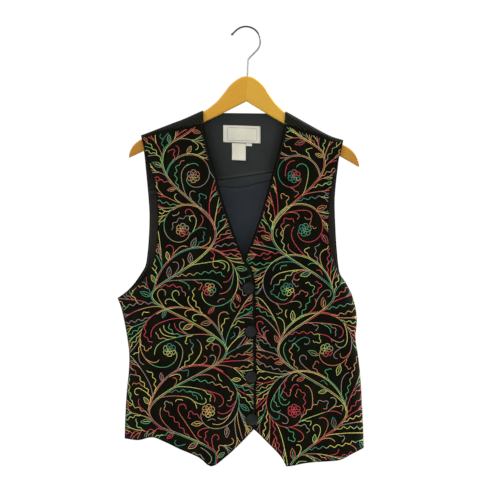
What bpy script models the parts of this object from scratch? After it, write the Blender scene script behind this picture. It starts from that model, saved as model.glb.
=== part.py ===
"""A suede vest with a cloth back, buttoned up and hanging on a tilted wooden hanger.

Sizes are in millimetres and become metres where a mesh is written. Left and right are as seen from the
front, which faces -Y. The origin is the point inside the top of the hook where a rail carries it all.
Each cloth piece is a grid of points on its middle surface, made a wall by Solidify. Grids run in rows
from the shoulder down to the hem, and their columns run across.
"""

import math
from typing import NamedTuple

import bmesh
import bpy
import numpy as np

MM = 0.001

# Walls and the gaps between them
SUEDE_WALL = 1.6
BACK_WALL = 1.2
LINING_WALL = 1.0
LABEL_WALL = 1.0
SEAM_GAP = 0.3
SHOULDER_SEAM_GAP = 0.45
LAYER_GAP = 0.5

# The cloth's bend over the hanger
CREST_RADIUS = 10.0
SHOULDER_END = 40.0
BACK_ROWS_BEHIND_CREST = (-8.0, -16.0, -30.0)
SHOULDER_CENTRE_X = -3.0
BLEND_DROP = 70.0
NECK_HOLLOW_POWER = 4

# Grid steps
FLAT_STEPS = 10
TURN_STEPS = 5
SHOULDER_STEPS = 5
OVER_STEPS = 8
NECK_STEPS = 10
TURN_WIDTH = 30.0

# Where the two fronts lie on each other
OVERLAP_OFFSET = 1.0
OVERLAP_FULL_X = 40.0
OVERLAP_END_X = 100.0

# Hanger
TILT_DEG = 2.3
HANGER_AXIS_X = 5.2
HANGER_THICK = 12.0
HANGER_EDGE = 5.0
HANGER_BOW = 12.0
HANGER_REACH = 201.4
ARC_POINTS = 4
LEAST_HALF_FLAT = 0.1
SHARP_DEG = 50.0

# Hook
WIRE = 3.2
HOOK_RADIUS = 25.3
HOOK_LOW_DEG = -43.0
HOOK_HIGH_DEG = 137.0
HOOK_FLARE = 9.5
HOOK_BEND = 9.0
HOOK_BEND_STEPS = 4
HOOK_ARC_STEPS = 24
SHANK_END_Z = -97.0
BORE_DEPTH = 97.6
BORE_CLEARANCE = 0.3
BORE_SIDES = 16

# Rows of the share of the hook's flared end, swelling of the wire there
HOOK_TIP = ((0.5, 1.0), (0.72, 1.2), (0.88, 1.4), (1.0, 1.1))

# Buttons
BUTTON_RADIUS = 10.0
BUTTON_SIDES = 20
BUTTON_PROBES = 5

# Labels
RIBBON_ROWS = 5
RIBBON_COLUMNS = 7


class Level(NamedTuple):
    """A row of all three panels: its heights at the front edge and both sides, and how far the side turns."""

    centre: float
    left: float
    right: float
    turn: float


LEVELS = (
    Level(-205.0, -250.0, -250.0, 0.02),
    Level(-235.0, -275.0, -275.0, 0.05),
    Level(-265.0, -300.0, -300.0, 0.09),
    Level(-297.0, -325.0, -325.0, 0.13),
    Level(-330.0, -350.0, -350.0, 0.18),
    Level(-361.0, -375.0, -375.0, 0.24),
    Level(-388.0, -398.0, -398.0, 0.33),
    Level(-410.0, -420.0, -418.0, 0.46),
    Level(-426.0, -437.0, -433.0, 0.62),
    Level(-439.0, -452.0, -447.0, 0.77),
    Level(-452.0, -465.0, -458.0, 0.89),
    Level(-464.0, -475.5, -468.0, 1.0),
    Level(-478.0, -490.0, -486.0, 1.0),
    Level(-500.0, -512.0, -512.0, 1.0),
    Level(-530.0, -542.0, -544.0, 1.0),
    Level(-562.0, -573.0, -580.0, 1.0),
    Level(-595.0, -604.0, -620.0, 1.0),
    Level(-630.0, -640.0, -660.0, 1.0),
    Level(-665.0, -680.0, -700.0, 1.0),
    Level(-702.0, -722.0, -738.0, 1.0),
)
UNDERARM_LEVEL = 11

# Rows of height, distance of the fronts before Y = 0, distance of the back behind it
DEPTHS = (
    (-180.0, 13.0, 9.0),
    (-250.0, 17.0, 10.0),
    (-350.0, 20.0, 12.5),
    (-450.0, 22.0, 14.0),
    (-560.0, 20.0, 13.5),
    (-650.0, 22.0, 15.0),
    (-770.0, 25.0, 17.0),
)

# Rows of the share of the shoulder from neck to armhole, drop of the seam below the crest in front
SEAM_DROPS = ((0.0, 22.0), (0.42, 12.0), (0.72, 5.0), (1.0, 1.5))

# Rows of x, height of the back's hem
BACK_HEM = (
    (-213.0, -722.0), (-150.0, -709.0), (-40.0, -697.0), (60.0, -699.0), (160.0, -722.0), (205.5, -738.0),
)

# The facing, in rows of the back: where its top edge lies under the hanger and at the neck
FACING_TOP_ROW = 1.15
FACING_NECK_ROW = 0.12
FACING_ROWS = 7

# Two places, as x and height, of the seam between facing and lining, and the tuck below it
TUCK_TOP = ((-44.8, -267.6), (53.6, -253.2))
TUCK_READ_ROW = 5.0
TUCK_HEIGHT = 11.5
TUCK_STAND = 1.2
TUCK_LIP = 1.0
LINING_EASE_ROWS = 4
LINING_EASE_END = 8
LINING_HEM_INSET = 14.0
LINING_EDGE_INSET = 0.35
LINING_SEAM_INSET = 0.75
LINING_INSET_ROWS_ABOVE = 4.0
LINING_INSET_ROWS = 3.0


class Half(NamedTuple):
    """The outline of one half of the vest, in tables, and the form of its side.

    neck, armhole, back_armhole and side hold rows of height, x. hem and crest hold rows of x, height.
    pinch is 1 for a side creased flat and 0 for one that rounds. front_turn and back_turn are the degrees
    by which each panel turns towards the side seam.
    """

    sign: int
    neck: tuple
    armhole: tuple
    back_armhole: tuple
    side: tuple
    hem: tuple
    crest: tuple
    pinch: float
    front_turn: float
    back_turn: float


LEFT = Half(
    sign=-1,
    neck=(
        (-146.0, -77.0), (-168.0, -75.0), (-208.0, -67.5), (-249.0, -56.0), (-303.0, -41.5), (-344.0, -28.0),
        (-384.0, -13.5), (-405.0, -4.5), (-423.0, 6.5), (-436.0, 11.5), (-453.0, 14.0), (-580.0, 15.0),
        (-702.0, 15.5),
    ),
    armhole=(
        (-190.0, -185.0), (-220.0, -178.0), (-236.0, -172.0), (-255.0, -166.0), (-275.0, -160.5),
        (-300.0, -157.0), (-336.0, -155.5), (-374.0, -157.0), (-396.0, -160.0), (-418.0, -165.0),
        (-435.0, -173.5), (-450.0, -187.0), (-462.5, -205.5), (-475.5, -226.0),
    ),
    back_armhole=(
        (-190.0, -185.0), (-223.0, -180.0), (-273.0, -175.0), (-334.0, -171.0), (-364.0, -172.0),
        (-415.0, -177.0), (-441.0, -191.0), (-461.5, -207.5), (-475.5, -226.0),
    ),
    side=(
        (-475.5, -226.0), (-488.0, -221.0), (-512.0, -215.0), (-542.0, -209.5), (-586.0, -205.0),
        (-623.0, -208.5), (-663.0, -211.5), (-722.0, -213.5),
    ),
    hem=(
        (-213.0, -722.0), (-191.0, -723.5), (-165.0, -718.0), (-144.5, -726.0), (-120.0, -738.0),
        (-82.0, -754.0), (-62.0, -769.0), (-35.5, -752.0), (-11.5, -730.0), (15.5, -702.0),
    ),
    crest=(
        (-185.0, -190.5), (-148.5, -176.2), (-128.0, -168.1), (-112.0, -162.0), (-77.0, -146.3),
    ),
    pinch=1.0,
    front_turn=87.0,
    back_turn=87.0,
)

RIGHT = Half(
    sign=1,
    neck=(
        (-147.5, 69.5), (-166.0, 67.0), (-205.0, 59.0), (-249.0, 47.0), (-284.0, 37.5), (-316.0, 28.5),
        (-354.0, 16.5), (-395.0, 1.0), (-408.0, -4.5), (-425.0, -7.0), (-702.0, -7.0),
    ),
    armhole=(
        (-198.0, 170.0), (-229.0, 163.0), (-236.0, 160.5), (-255.0, 156.0), (-275.0, 150.0), (-300.0, 146.0),
        (-336.0, 144.5), (-374.0, 146.0), (-398.0, 150.0), (-418.0, 156.0), (-433.0, 162.5), (-449.0, 174.0),
        (-468.0, 184.0),
    ),
    back_armhole=(
        (-198.0, 170.0), (-229.0, 163.5), (-269.5, 158.0), (-308.0, 155.5), (-354.0, 157.0), (-405.0, 160.5),
        (-431.0, 164.0), (-449.0, 174.5), (-468.0, 184.0),
    ),
    side=(
        (-468.0, 184.0), (-479.0, 188.0), (-512.0, 193.5), (-544.0, 191.0), (-592.0, 198.0), (-643.0, 201.5),
        (-703.0, 204.5), (-738.0, 205.5),
    ),
    hem=(
        (-7.0, -694.0), (9.5, -702.5), (37.0, -728.0), (63.0, -756.0), (69.5, -769.0), (101.0, -764.0),
        (160.0, -758.5), (186.0, -746.5), (205.5, -738.0),
    ),
    crest=(
        (69.5, -147.9), (97.5, -164.0), (128.0, -181.3), (150.0, -192.4), (170.0, -198.7),
    ),
    pinch=0.0,
    front_turn=102.0,
    back_turn=76.0,
)


class Fold(NamedTuple):
    """A soft vertical fold: its top, its place at the hem, its half width and how far it stands out."""

    top_x: float
    top_z: float
    hem_x: float
    width: float
    stand: float


FOLD_FULL_Z = -700.0
FOLD_REACH = 1.3
FRONT_FOLDS = (
    Fold(-135.0, -470.0, -166.0, 20.0, 6.0),
    Fold(-95.0, -500.0, -122.0, 22.0, -4.5),
    Fold(-62.0, -540.0, -70.0, 24.0, 3.5),
    Fold(60.0, -520.0, 72.0, 24.0, 4.0),
    Fold(95.0, -500.0, 118.0, 22.0, -4.5),
    Fold(130.0, -480.0, 158.0, 20.0, 5.5),
)
BACK_FOLDS = (
    Fold(-95.0, -300.0, -142.0, 30.0, 6.0),
    Fold(-40.0, -260.0, -62.0, 34.0, -4.5),
    Fold(15.0, -280.0, 22.0, 30.0, 5.0),
    Fold(70.0, -260.0, 92.0, 32.0, -4.5),
    Fold(110.0, -320.0, 150.0, 24.0, 4.5),
)

# Rows of distance from the hanger's axis, height of the arm's top and bottom edges
HANGER_ARM = (
    (0.15, -85.2, -130.0),
    (9.0, -87.0, -135.0),
    (18.0, -92.0, -140.0),
    (30.0, -102.5, -146.7),
    (40.0, -116.6, -152.2),
    (52.0, -132.0, -158.5),
    (62.0, -141.2, -163.8),
    (70.0, -147.7, -168.0),
    (80.0, -153.3, -173.3),
    (110.0, -168.4, -189.3),
    (145.0, -185.6, -208.0),
    (172.0, -199.2, -222.3),
    (180.0, -203.6, -226.6),
    (188.0, -209.6, -230.9),
    (195.0, -217.5, -234.6),
    (199.5, -227.0, -236.9),
    (201.4, -233.5, -237.9),
)

# Rows of x, height of each button's centre, from the top one down
BUTTONS = ((3.5, -458.0), (7.5, -533.5), (8.0, -613.5), (9.5, -687.5))

# Rows of radius, height of a covered button's outline, from its crown to its flat base
BUTTON_OUTLINE = (
    (0.0, 6.4), (3.6, 6.0), (6.8, 4.9), (9.0, 3.2), (10.0, 1.5), (9.4, 0.4), (8.6, 0.0), (0.0, 0.0),
)


class Ribbon(NamedTuple):
    """A label sewn to the facing: its name and sides, its top and bottom, and how far its foot stands out."""

    name: str
    left: float
    right: float
    top: float
    bottom: float
    stand: float


RIBBONS = (
    Ribbon("label_main", -41.0, 24.6, -171.5, -202.7, 0.4),
    Ribbon("label_care", -25.5, -1.2, -203.1, -233.8, 2.5),
    Ribbon("label_size", -0.8, 9.7, -203.1, -208.0, 0.3),
)


def along(table, at):
    """Values at the given places of a table of (place, value) rows, by a cubic that never overshoots them."""
    places, values = np.array(sorted(table), float).T
    steps = np.diff(places)
    slopes = np.diff(values) / steps
    tangents = np.concatenate([slopes[:1], np.zeros(len(slopes) - 1), slopes[-1:]])
    for i in range(1, len(slopes)):
        if slopes[i - 1] * slopes[i] > 0.0:
            tangents[i] = 2.0 * slopes[i - 1] * slopes[i] / (slopes[i - 1] + slopes[i])
    at = np.clip(at, places[0], places[-1])
    i = np.clip(np.searchsorted(places, at) - 1, 0, len(steps) - 1)
    t = (at - places[i]) / steps[i]
    rise = tangents[i] * steps[i]
    fall = tangents[i + 1] * steps[i]
    return (
        values[i] * (1.0 + 2.0 * t) * (1.0 - t) ** 2
        + rise * t * (1.0 - t) ** 2
        + values[i + 1] * t**2 * (3.0 - 2.0 * t)
        + fall * t**2 * (t - 1.0)
    )


def eased(share):
    """A share from 0 to 1 that starts and ends softly."""
    share = np.clip(share, 0.0, 1.0)
    return share * share * (3.0 - 2.0 * share)


def mixed(first, second, share):
    """The value at a share of the way from first to second."""
    return first + (second - first) * share


def bow(x):
    """How far the hanger and the shoulders on it curve towards the front."""
    return -HANGER_BOW * ((x - SHOULDER_CENTRE_X) / HANGER_REACH) ** 2


def over_crest(half, x, run):
    """The cloth over the hanger: run is the length along it from the crest, positive towards the front."""
    quarter = CREST_RADIUS * math.pi / 2.0
    angle = np.clip(np.abs(run) / CREST_RADIUS, 0.0, math.pi / 2.0)
    drop = CREST_RADIUS * (1.0 - np.cos(angle)) + np.maximum(np.abs(run) - quarter, 0.0)
    y = bow(x) - np.sign(run) * CREST_RADIUS * np.sin(angle)
    z = along(half.crest, x) - drop
    return np.stack([x, y, z], axis=-1)


def seam_run(share):
    """Length from the crest to the shoulder seam, at a share of the shoulder from neck to armhole."""
    drop = along(SEAM_DROPS, share)
    on_bend = CREST_RADIUS * np.arccos(np.clip(1.0 - drop / CREST_RADIUS, 0.0, 1.0))
    below = CREST_RADIUS * math.pi / 2.0 + drop - CREST_RADIUS
    return np.where(drop < CREST_RADIUS, on_bend, below)


def depth(z, column):
    """Distance of the fronts (column 1) or the back (column 2) from Y = 0 at a height."""
    return along([(row[0], row[column]) for row in DEPTHS], z)


def fold_relief(folds, x, z):
    """How far the folds stand out at a place."""
    relief = np.zeros_like(x)
    for fold in folds:
        share = (fold.top_z - z) / (fold.top_z - FOLD_FULL_Z)
        middle = mixed(fold.top_x, fold.hem_x, np.clip(share, 0.0, FOLD_REACH))
        relief += fold.stand * eased(share) * np.exp(-(((x - middle) / fold.width) ** 2))
    return relief


def outer_x(half, armhole, z):
    """x of a panel's outer edge at a height, on its armhole or on its side below that."""
    underarm = half.side[0][0]
    return float(along(armhole if z >= underarm else half.side, z))


def side_turn(half, degrees, closed):
    """Shares of the turn's width and cosines of its angle, at the columns round the side."""
    steps = np.linspace(0.0, 1.0, TURN_STEPS + 1)
    angles = np.radians(max(degrees, 1.0)) * steps
    full = 1.0 if closed or degrees > 90.0 else math.sin(angles[-1])
    across = mixed(np.sin(angles) / full, steps, half.pinch)
    return across, np.cos(angles)


def side_height(level, half):
    """Height of a level at the side of one half."""
    return level.left if half.sign < 0 else level.right


def front_columns(inner, outer):
    """x and share across, at the columns of a front whose side has not turned yet."""
    turn_start = outer - math.copysign(TURN_WIDTH, outer - inner)
    flat = np.linspace(inner, turn_start, FLAT_STEPS + 1)[:-1]
    turn = np.linspace(turn_start, outer, TURN_STEPS + 1)
    x = np.concatenate([flat, turn])
    return x, (x - inner) / (outer - inner)


def front_shoulder(half):
    """The rows of a front from its shoulder seam down past the hanger."""
    neck_top = half.neck[0][1]
    tip = half.armhole[0][1]
    rows = []
    for share in np.linspace(0.0, 1.0, SHOULDER_STEPS + 1):
        neck_run = float(mixed(seam_run(0.0), SHOULDER_END, share))
        tip_run = float(mixed(seam_run(1.0), SHOULDER_END, share))
        neck_z = over_crest(half, np.array(neck_top), neck_run)[2]
        tip_z = over_crest(half, np.array(tip), tip_run)[2]
        x, across = front_columns(float(along(half.neck, neck_z)), float(along(half.armhole, tip_z)))
        rows.append(over_crest(half, x, mixed(seam_run(across), SHOULDER_END, share)))
    return rows


def overlap_offset(half, x):
    """How far a front moves forward, or back for the one beneath, where the two overlap."""
    near = eased((OVERLAP_END_X - x * half.sign) / (OVERLAP_END_X - OVERLAP_FULL_X))
    return half.sign * OVERLAP_OFFSET * near


def front_body(half, number, level):
    """One row of a front below the shoulder."""
    inner = float(along(half.neck, level.centre))
    side_z = side_height(level, half)
    outer = outer_x(half, half.armhole, side_z)
    across, facing = side_turn(half, level.turn * half.front_turn, False)
    turn_start = outer - half.sign * TURN_WIDTH
    flat = np.linspace(inner, turn_start, FLAT_STEPS + 1)[:-1]
    x = np.concatenate([flat, turn_start + half.sign * TURN_WIDTH * across])
    facing = np.concatenate([np.ones(FLAT_STEPS), facing])
    turn_share = (turn_start - inner) / (outer - inner)
    shares = np.concatenate(
        [np.linspace(0.0, turn_share, FLAT_STEPS + 1)[:-1], np.linspace(turn_share, 1.0, TURN_STEPS + 1)]
    )
    z = mixed(level.centre, side_z, shares)
    lowest = len(LEVELS) - 1
    hem_weight = eased((number - UNDERARM_LEVEL - 1) / (lowest - UNDERARM_LEVEL - 1))
    last = LEVELS[-1]
    hem_drop = along(half.hem, x) - mixed(last.centre, side_height(last, half), shares)
    z = z + hem_weight * hem_drop
    front = -depth(z, 1) - fold_relief(FRONT_FOLDS, x, z)
    shoulder_z = along(half.crest, x) - SHOULDER_END
    front = mixed(bow(x) - CREST_RADIUS, front, eased((shoulder_z - z) / BLEND_DROP))
    front = front + overlap_offset(half, x)
    middle = (depth(z, 2) - depth(z, 1)) / 2.0
    y = middle + (front - middle) * facing
    return np.stack([x, y, z], axis=-1)


def front_grid(half):
    """All rows of one front, with columns from its neck and front edge out to its armhole and side."""
    body = [front_body(half, number, level) for number, level in enumerate(LEVELS)]
    return np.array(front_shoulder(half) + body)


def back_row_x(level_turn, side_z, neck_x):
    """x and facing of the back's columns at a row, from the left edge to the right one."""
    parts_x, parts_facing = [], []
    for half, z, neck in zip((LEFT, RIGHT), side_z, neck_x):
        outer = outer_x(half, half.back_armhole, z)
        across, facing = side_turn(half, level_turn * half.back_turn, level_turn >= 1.0)
        turn_start = outer - half.sign * TURN_WIDTH
        turn = turn_start + half.sign * TURN_WIDTH * across
        flat = np.linspace(neck, turn_start, FLAT_STEPS + 1)[:-1]
        parts_x.append(np.concatenate([flat, turn]))
        parts_facing.append(np.concatenate([np.ones(FLAT_STEPS), facing]))
    middle = np.linspace(neck_x[0], neck_x[1], NECK_STEPS + 1)[1:-1]
    x = np.concatenate([parts_x[0][::-1], middle, parts_x[1]])
    facing = np.concatenate([parts_facing[0][::-1], np.ones(len(middle)), parts_facing[1]])
    return x, facing


def back_behind_crest(run):
    """A row of the back at a length behind the crest, which crosses the neck between the shoulders."""
    neck_x = (LEFT.neck[0][1], RIGHT.neck[0][1])
    tips = [(LEFT, LEFT.crest[0][0]), (RIGHT, RIGHT.crest[-1][0])]
    tips_z = [float(over_crest(half, np.array(tip), run)[2]) for half, tip in tips]
    x, _ = back_row_x(0.0, tips_z, neck_x)
    zone = FLAT_STEPS + TURN_STEPS + 1
    left = over_crest(LEFT, x[:zone], run)
    right = over_crest(RIGHT, x[-zone:], run)
    share = np.linspace(0.0, 1.0, NECK_STEPS + 1)[1:-1]
    y = mixed(left[-1, 1], right[0, 1], share)
    y = mixed(CREST_RADIUS, y, (2.0 * share - 1.0) ** NECK_HOLLOW_POWER)
    z = mixed(left[-1, 2], right[0, 2], share)
    middle = np.stack([x[zone:-zone], y, z], axis=-1)
    return np.concatenate([left, middle, right])


def back_body(number, level, top_row):
    """One row of the back below the shoulders. top_row is the row where it leaves the hanger."""
    side_z = (level.left, level.right)
    neck_x = [
        half.neck[0][1] * abs(outer_x(half, half.back_armhole, z) / half.armhole[0][1])
        for half, z in zip((LEFT, RIGHT), side_z)
    ]
    x, facing = back_row_x(level.turn, side_z, neck_x)
    share = (x - x[0]) / (x[-1] - x[0])
    share = np.maximum.accumulate(np.clip(share, 0.0, 1.0))
    share[-TURN_STEPS - 1 :] = np.linspace(share[-TURN_STEPS - 1], 1.0, TURN_STEPS + 1)
    z = mixed(level.left, level.right, share)
    lowest = len(LEVELS) - 1
    hem_weight = eased((number - UNDERARM_LEVEL - 1) / (lowest - UNDERARM_LEVEL - 1))
    last = LEVELS[-1]
    z = z + hem_weight * (along(BACK_HEM, x) - mixed(last.left, last.right, share))
    behind = depth(z, 2) + fold_relief(BACK_FOLDS, x, z)
    behind = mixed(top_row[:, 1], behind, eased((top_row[:, 2] - z) / BLEND_DROP))
    middle = (depth(z, 2) - depth(z, 1)) / 2.0
    y = middle + (behind - middle) * facing
    return np.stack([x, y, z], axis=-1)


def back_grid(fronts):
    """All rows of the back. Those over the crest exist only at the shoulders, and are NaN at the neck."""
    behind = [back_behind_crest(run) for run in BACK_ROWS_BEHIND_CREST]
    base = behind + [back_body(number, level, behind[-1]) for number, level in enumerate(LEVELS)]
    over = np.full((OVER_STEPS, base[0].shape[0], 3), np.nan)
    zone = FLAT_STEPS + TURN_STEPS + 1
    left_columns = slice(zone - 1, None, -1)
    right_columns = slice(-zone, None)
    for half, front, columns in ((LEFT, fronts[0], left_columns), (RIGHT, fronts[1], right_columns)):
        start = base[0][columns][:, 0]
        seam = front[0][:, 0]
        _, across = front_columns(seam[0], seam[-1])
        end_run = seam_run(across) - SHOULDER_SEAM_GAP
        for step in range(OVER_STEPS):
            share = 1.0 - step / OVER_STEPS
            x = mixed(start, seam, share)
            over[step, columns] = over_crest(half, x, mixed(BACK_ROWS_BEHIND_CREST[0], end_run, share))
    return np.concatenate([over, np.array(base)])


def normals_of(grid):
    """Unit normals at a grid's points, which face the front."""
    across = np.gradient(grid, axis=1)
    down = np.gradient(grid, axis=0)
    normal = np.cross(across, down)
    normal /= np.linalg.norm(normal, axis=2, keepdims=True)
    return normal * np.where(normal[..., 1:2] > 0.0, -1.0, 1.0)


def sampled(grid, rows, columns):
    """Points of a grid at fractional rows and columns."""
    i = np.clip(rows.astype(int), 0, grid.shape[0] - 2)
    j = np.clip(columns.astype(int), 0, grid.shape[1] - 2)
    s = (rows - i)[..., None]
    t = (columns - j)[..., None]
    upper = mixed(grid[i, j], grid[i, j + 1], t)
    lower = mixed(grid[i + 1, j], grid[i + 1, j + 1], t)
    return mixed(upper, lower, s)


def row_at_height(grid, column, z):
    """Fractional row at which a column of a grid passes a height."""
    point_column = np.full(grid.shape[0], column, float)
    heights = sampled(grid, np.arange(grid.shape[0], dtype=float), point_column)[:, 2]
    return float(np.interp(-z, -heights, np.arange(grid.shape[0])))


def inner_columns(count, inset):
    """Fractional columns of a layer that stops short of a grid's outer columns."""
    columns = np.arange(count, dtype=float)
    columns = columns[int(inset) + 1 : count - 1 - int(inset)]
    return np.concatenate([[inset], columns, [count - 1 - inset]])


def tuck_top(x):
    """Height of the seam between facing and lining."""
    (x0, z0), (x1, z1) = TUCK_TOP
    return z0 + (x - x0) * (z1 - z0) / (x1 - x0)


def facing_grid(back):
    """The back's inner yoke, from just under the hanger down to the tuck."""
    base = back[OVER_STEPS:]
    normal = normals_of(base)
    columns = inner_columns(base.shape[1], LINING_EDGE_INSET)
    middle = (base.shape[1] - 1) / 2.0
    near_middle = eased((NECK_STEPS / 2.0 + 0.5 - np.abs(columns - middle)) / (NECK_STEPS / 4.0))
    top = mixed(FACING_TOP_ROW, FACING_NECK_ROW, near_middle)
    x = sampled(base, np.full(columns.shape, TUCK_READ_ROW), columns)[:, 0]
    bottom = np.array([row_at_height(base, c, tuck_top(v) + SEAM_GAP / 2.0) for c, v in zip(columns, x)])
    rows = np.array([mixed(top, bottom, share) for share in np.linspace(0.0, 1.0, FACING_ROWS)])
    columns = np.broadcast_to(columns, rows.shape)
    lift = BACK_WALL / 2.0 + LAYER_GAP + LINING_WALL / 2.0
    return sampled(base, rows, columns) + sampled(normal, rows, columns) * lift


def lining_grid(back):
    """The back's lining: a tuck along its top, then plain cloth to just above the hem."""
    base = back[OVER_STEPS:]
    normal = normals_of(base)
    count = base.shape[1]
    last = base.shape[0] - 1
    lift = BACK_WALL / 2.0 + LAYER_GAP + LINING_WALL / 2.0
    underarm_row = len(BACK_ROWS_BEHIND_CREST) + UNDERARM_LEVEL
    drops = [SEAM_GAP / 2.0, TUCK_LIP, 2.0 * TUCK_LIP, TUCK_HEIGHT, TUCK_HEIGHT + TUCK_LIP]
    stands = [0.0, 0.0, TUCK_STAND, TUCK_STAND, 0.0]
    columns = inner_columns(count, LINING_EDGE_INSET)
    x = sampled(base, np.full(columns.shape, TUCK_READ_ROW), columns)[:, 0]
    rows = [
        [row_at_height(base, c, tuck_top(v) - drop) for c, v in zip(columns, x)] for drop in drops
    ]
    start = np.array(rows[-1])
    for share in np.linspace(0.0, 1.0, LINING_EASE_ROWS + 1)[1:]:
        rows.append(mixed(start, LINING_EASE_END, share))
    rows += [np.full(columns.shape, float(row)) for row in range(LINING_EASE_END + 1, last)]
    hem_z = base[last, :, 2] + LINING_HEM_INSET
    rows.append([row_at_height(base, c, float(np.interp(c, np.arange(count), hem_z))) for c in columns])
    stands += [0.0] * (len(rows) - len(stands))
    rows = np.array(rows, float)
    below = rows - underarm_row + LINING_INSET_ROWS_ABOVE
    inset = mixed(LINING_EDGE_INSET, LINING_SEAM_INSET, eased(below / LINING_INSET_ROWS))
    columns = np.broadcast_to(columns, rows.shape).copy()
    columns[:, 0] = inset[:, 0]
    columns[:, -1] = count - 1 - inset[:, -1]
    stand = np.array(stands)[:, None, None]
    return sampled(base, rows, columns) + sampled(normal, rows, columns) * (lift + stand)


def surface_y(grid, x, z):
    """y of a grid's surface at an x and a height, where both run evenly over it."""
    y_at = []
    z_at = []
    for row in grid:
        order = np.argsort(row[:, 0])
        y_at.append(np.interp(x, row[order, 0], row[order, 1]))
        z_at.append(np.interp(x, row[order, 0], row[order, 2]))
    return float(np.interp(-z, -np.array(z_at), np.array(y_at)))


def ribbon_grid(ribbon, facing):
    """A label's points, made from the facing's and moved out. Its foot stands out a little more."""
    lift = LINING_WALL / 2.0 + SEAM_GAP + LABEL_WALL / 2.0
    rows = []
    for share in np.linspace(0.0, 1.0, RIBBON_ROWS):
        z = mixed(ribbon.top, ribbon.bottom, share)
        xs = np.linspace(ribbon.left, ribbon.right, RIBBON_COLUMNS)
        rows.append([(x, surface_y(facing, x, z) - lift - ribbon.stand * share**2, z) for x in xs])
    return np.array(rows)


def material(name, colour, roughness, metallic=0.0):
    """A plain material of one colour."""
    made = bpy.data.materials.new(name)
    made.use_nodes = True
    shader = made.node_tree.nodes["Principled BSDF"]
    shader.inputs["Base Color"].default_value = (*colour, 1.0)
    shader.inputs["Roughness"].default_value = roughness
    shader.inputs["Metallic"].default_value = metallic
    return made


def add_object(name, data, collection, finish, parent=None):
    """An object of this data in a collection, with its material."""
    made = bpy.data.objects.new(name, data)
    collection.objects.link(made)
    if finish is not None:
        data.materials.append(finish)
    made.parent = parent
    return made


def add_sheet(name, grid, wall, collection, finish):
    """A cloth piece: a grid of points on its middle surface, thickened to a wall."""
    rows, columns = grid.shape[:2]
    present = ~np.isnan(grid[..., 0])
    numbers = np.full((rows, columns), -1)
    numbers[present] = np.arange(present.sum())
    faces = []
    for i in range(rows - 1):
        for j in range(columns - 1):
            corners = [numbers[i, j], numbers[i + 1, j], numbers[i + 1, j + 1], numbers[i, j + 1]]
            if min(corners) >= 0:
                faces.append([int(corner) for corner in corners])
    mesh = bpy.data.meshes.new(name)
    mesh.from_pydata([tuple(point) for point in grid[present] * MM], [], faces)
    mesh.update()
    mesh.shade_smooth()
    made = add_object(name, mesh, collection, finish)
    wall_maker = made.modifiers.new("wall", "SOLIDIFY")
    wall_maker.thickness = wall * MM
    wall_maker.offset = 0.0
    wall_maker.use_even_offset = True
    return made


def rounded_section(top, bottom):
    """y and z of a hanger arm's section: a bar with rounded edges, as many points whatever its height."""
    half_thick = HANGER_THICK / 2.0
    radius = min(HANGER_EDGE, (top - bottom) / 2.0 - LEAST_HALF_FLAT)
    middle = (top + bottom) / 2.0
    up = (top - bottom) / 2.0 - radius
    side = half_thick - radius
    corners = ((side, up, 0.0), (-side, up, 90.0), (-side, -up, 180.0), (side, -up, 270.0))
    points = []
    for y, z, start in corners:
        for step in range(ARC_POINTS):
            angle = math.radians(start + 90.0 * step / (ARC_POINTS - 1))
            points.append((y + radius * math.cos(angle), middle + z + radius * math.sin(angle)))
    return points


def add_arm(name, sign, collection, finish, parent):
    """One arm of the hanger: a loft of rounded bars from the centre out to the tip."""
    shape = bmesh.new()
    loops = []
    for reach, top, bottom in HANGER_ARM:
        x = HANGER_AXIS_X + sign * reach
        forward = -HANGER_BOW * (reach / HANGER_REACH) ** 2
        section = rounded_section(top, bottom)
        loops.append([shape.verts.new((x * MM, (y + forward) * MM, z * MM)) for y, z in section])
    for first, second in zip(loops, loops[1:]):
        for k in range(len(first)):
            after = (k + 1) % len(first)
            shape.faces.new((first[k], first[after], second[after], second[k]))
    shape.faces.new(loops[0])
    shape.faces.new(loops[-1])
    bmesh.ops.recalc_face_normals(shape, faces=shape.faces)
    mesh = bpy.data.meshes.new(name)
    shape.to_mesh(mesh)
    shape.free()
    mesh.shade_smooth()
    mesh.set_sharp_from_angle(angle=math.radians(SHARP_DEG))
    return add_object(name, mesh, collection, finish, parent)


def add_bore(arms, collection, parent):
    """The blind hole for the hook's shank, cut half from each arm."""
    shape = bmesh.new()
    depth_of_bore = BORE_DEPTH * MM
    radius = (WIRE / 2.0 + BORE_CLEARANCE) * MM
    bmesh.ops.create_cone(
        shape, cap_ends=True, segments=BORE_SIDES, radius1=radius, radius2=radius, depth=depth_of_bore
    )
    mesh = bpy.data.meshes.new("shank_bore")
    shape.to_mesh(mesh)
    shape.free()
    cutter = add_object("shank_bore", mesh, collection, None, parent)
    cutter.location = (HANGER_AXIS_X * MM, 0.0, -depth_of_bore / 2.0)
    cutter.hide_render = True
    cutter.display_type = "WIRE"
    for arm in arms:
        cut = arm.modifiers.new("bore", "BOOLEAN")
        cut.operation = "DIFFERENCE"
        cut.object = cutter


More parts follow.
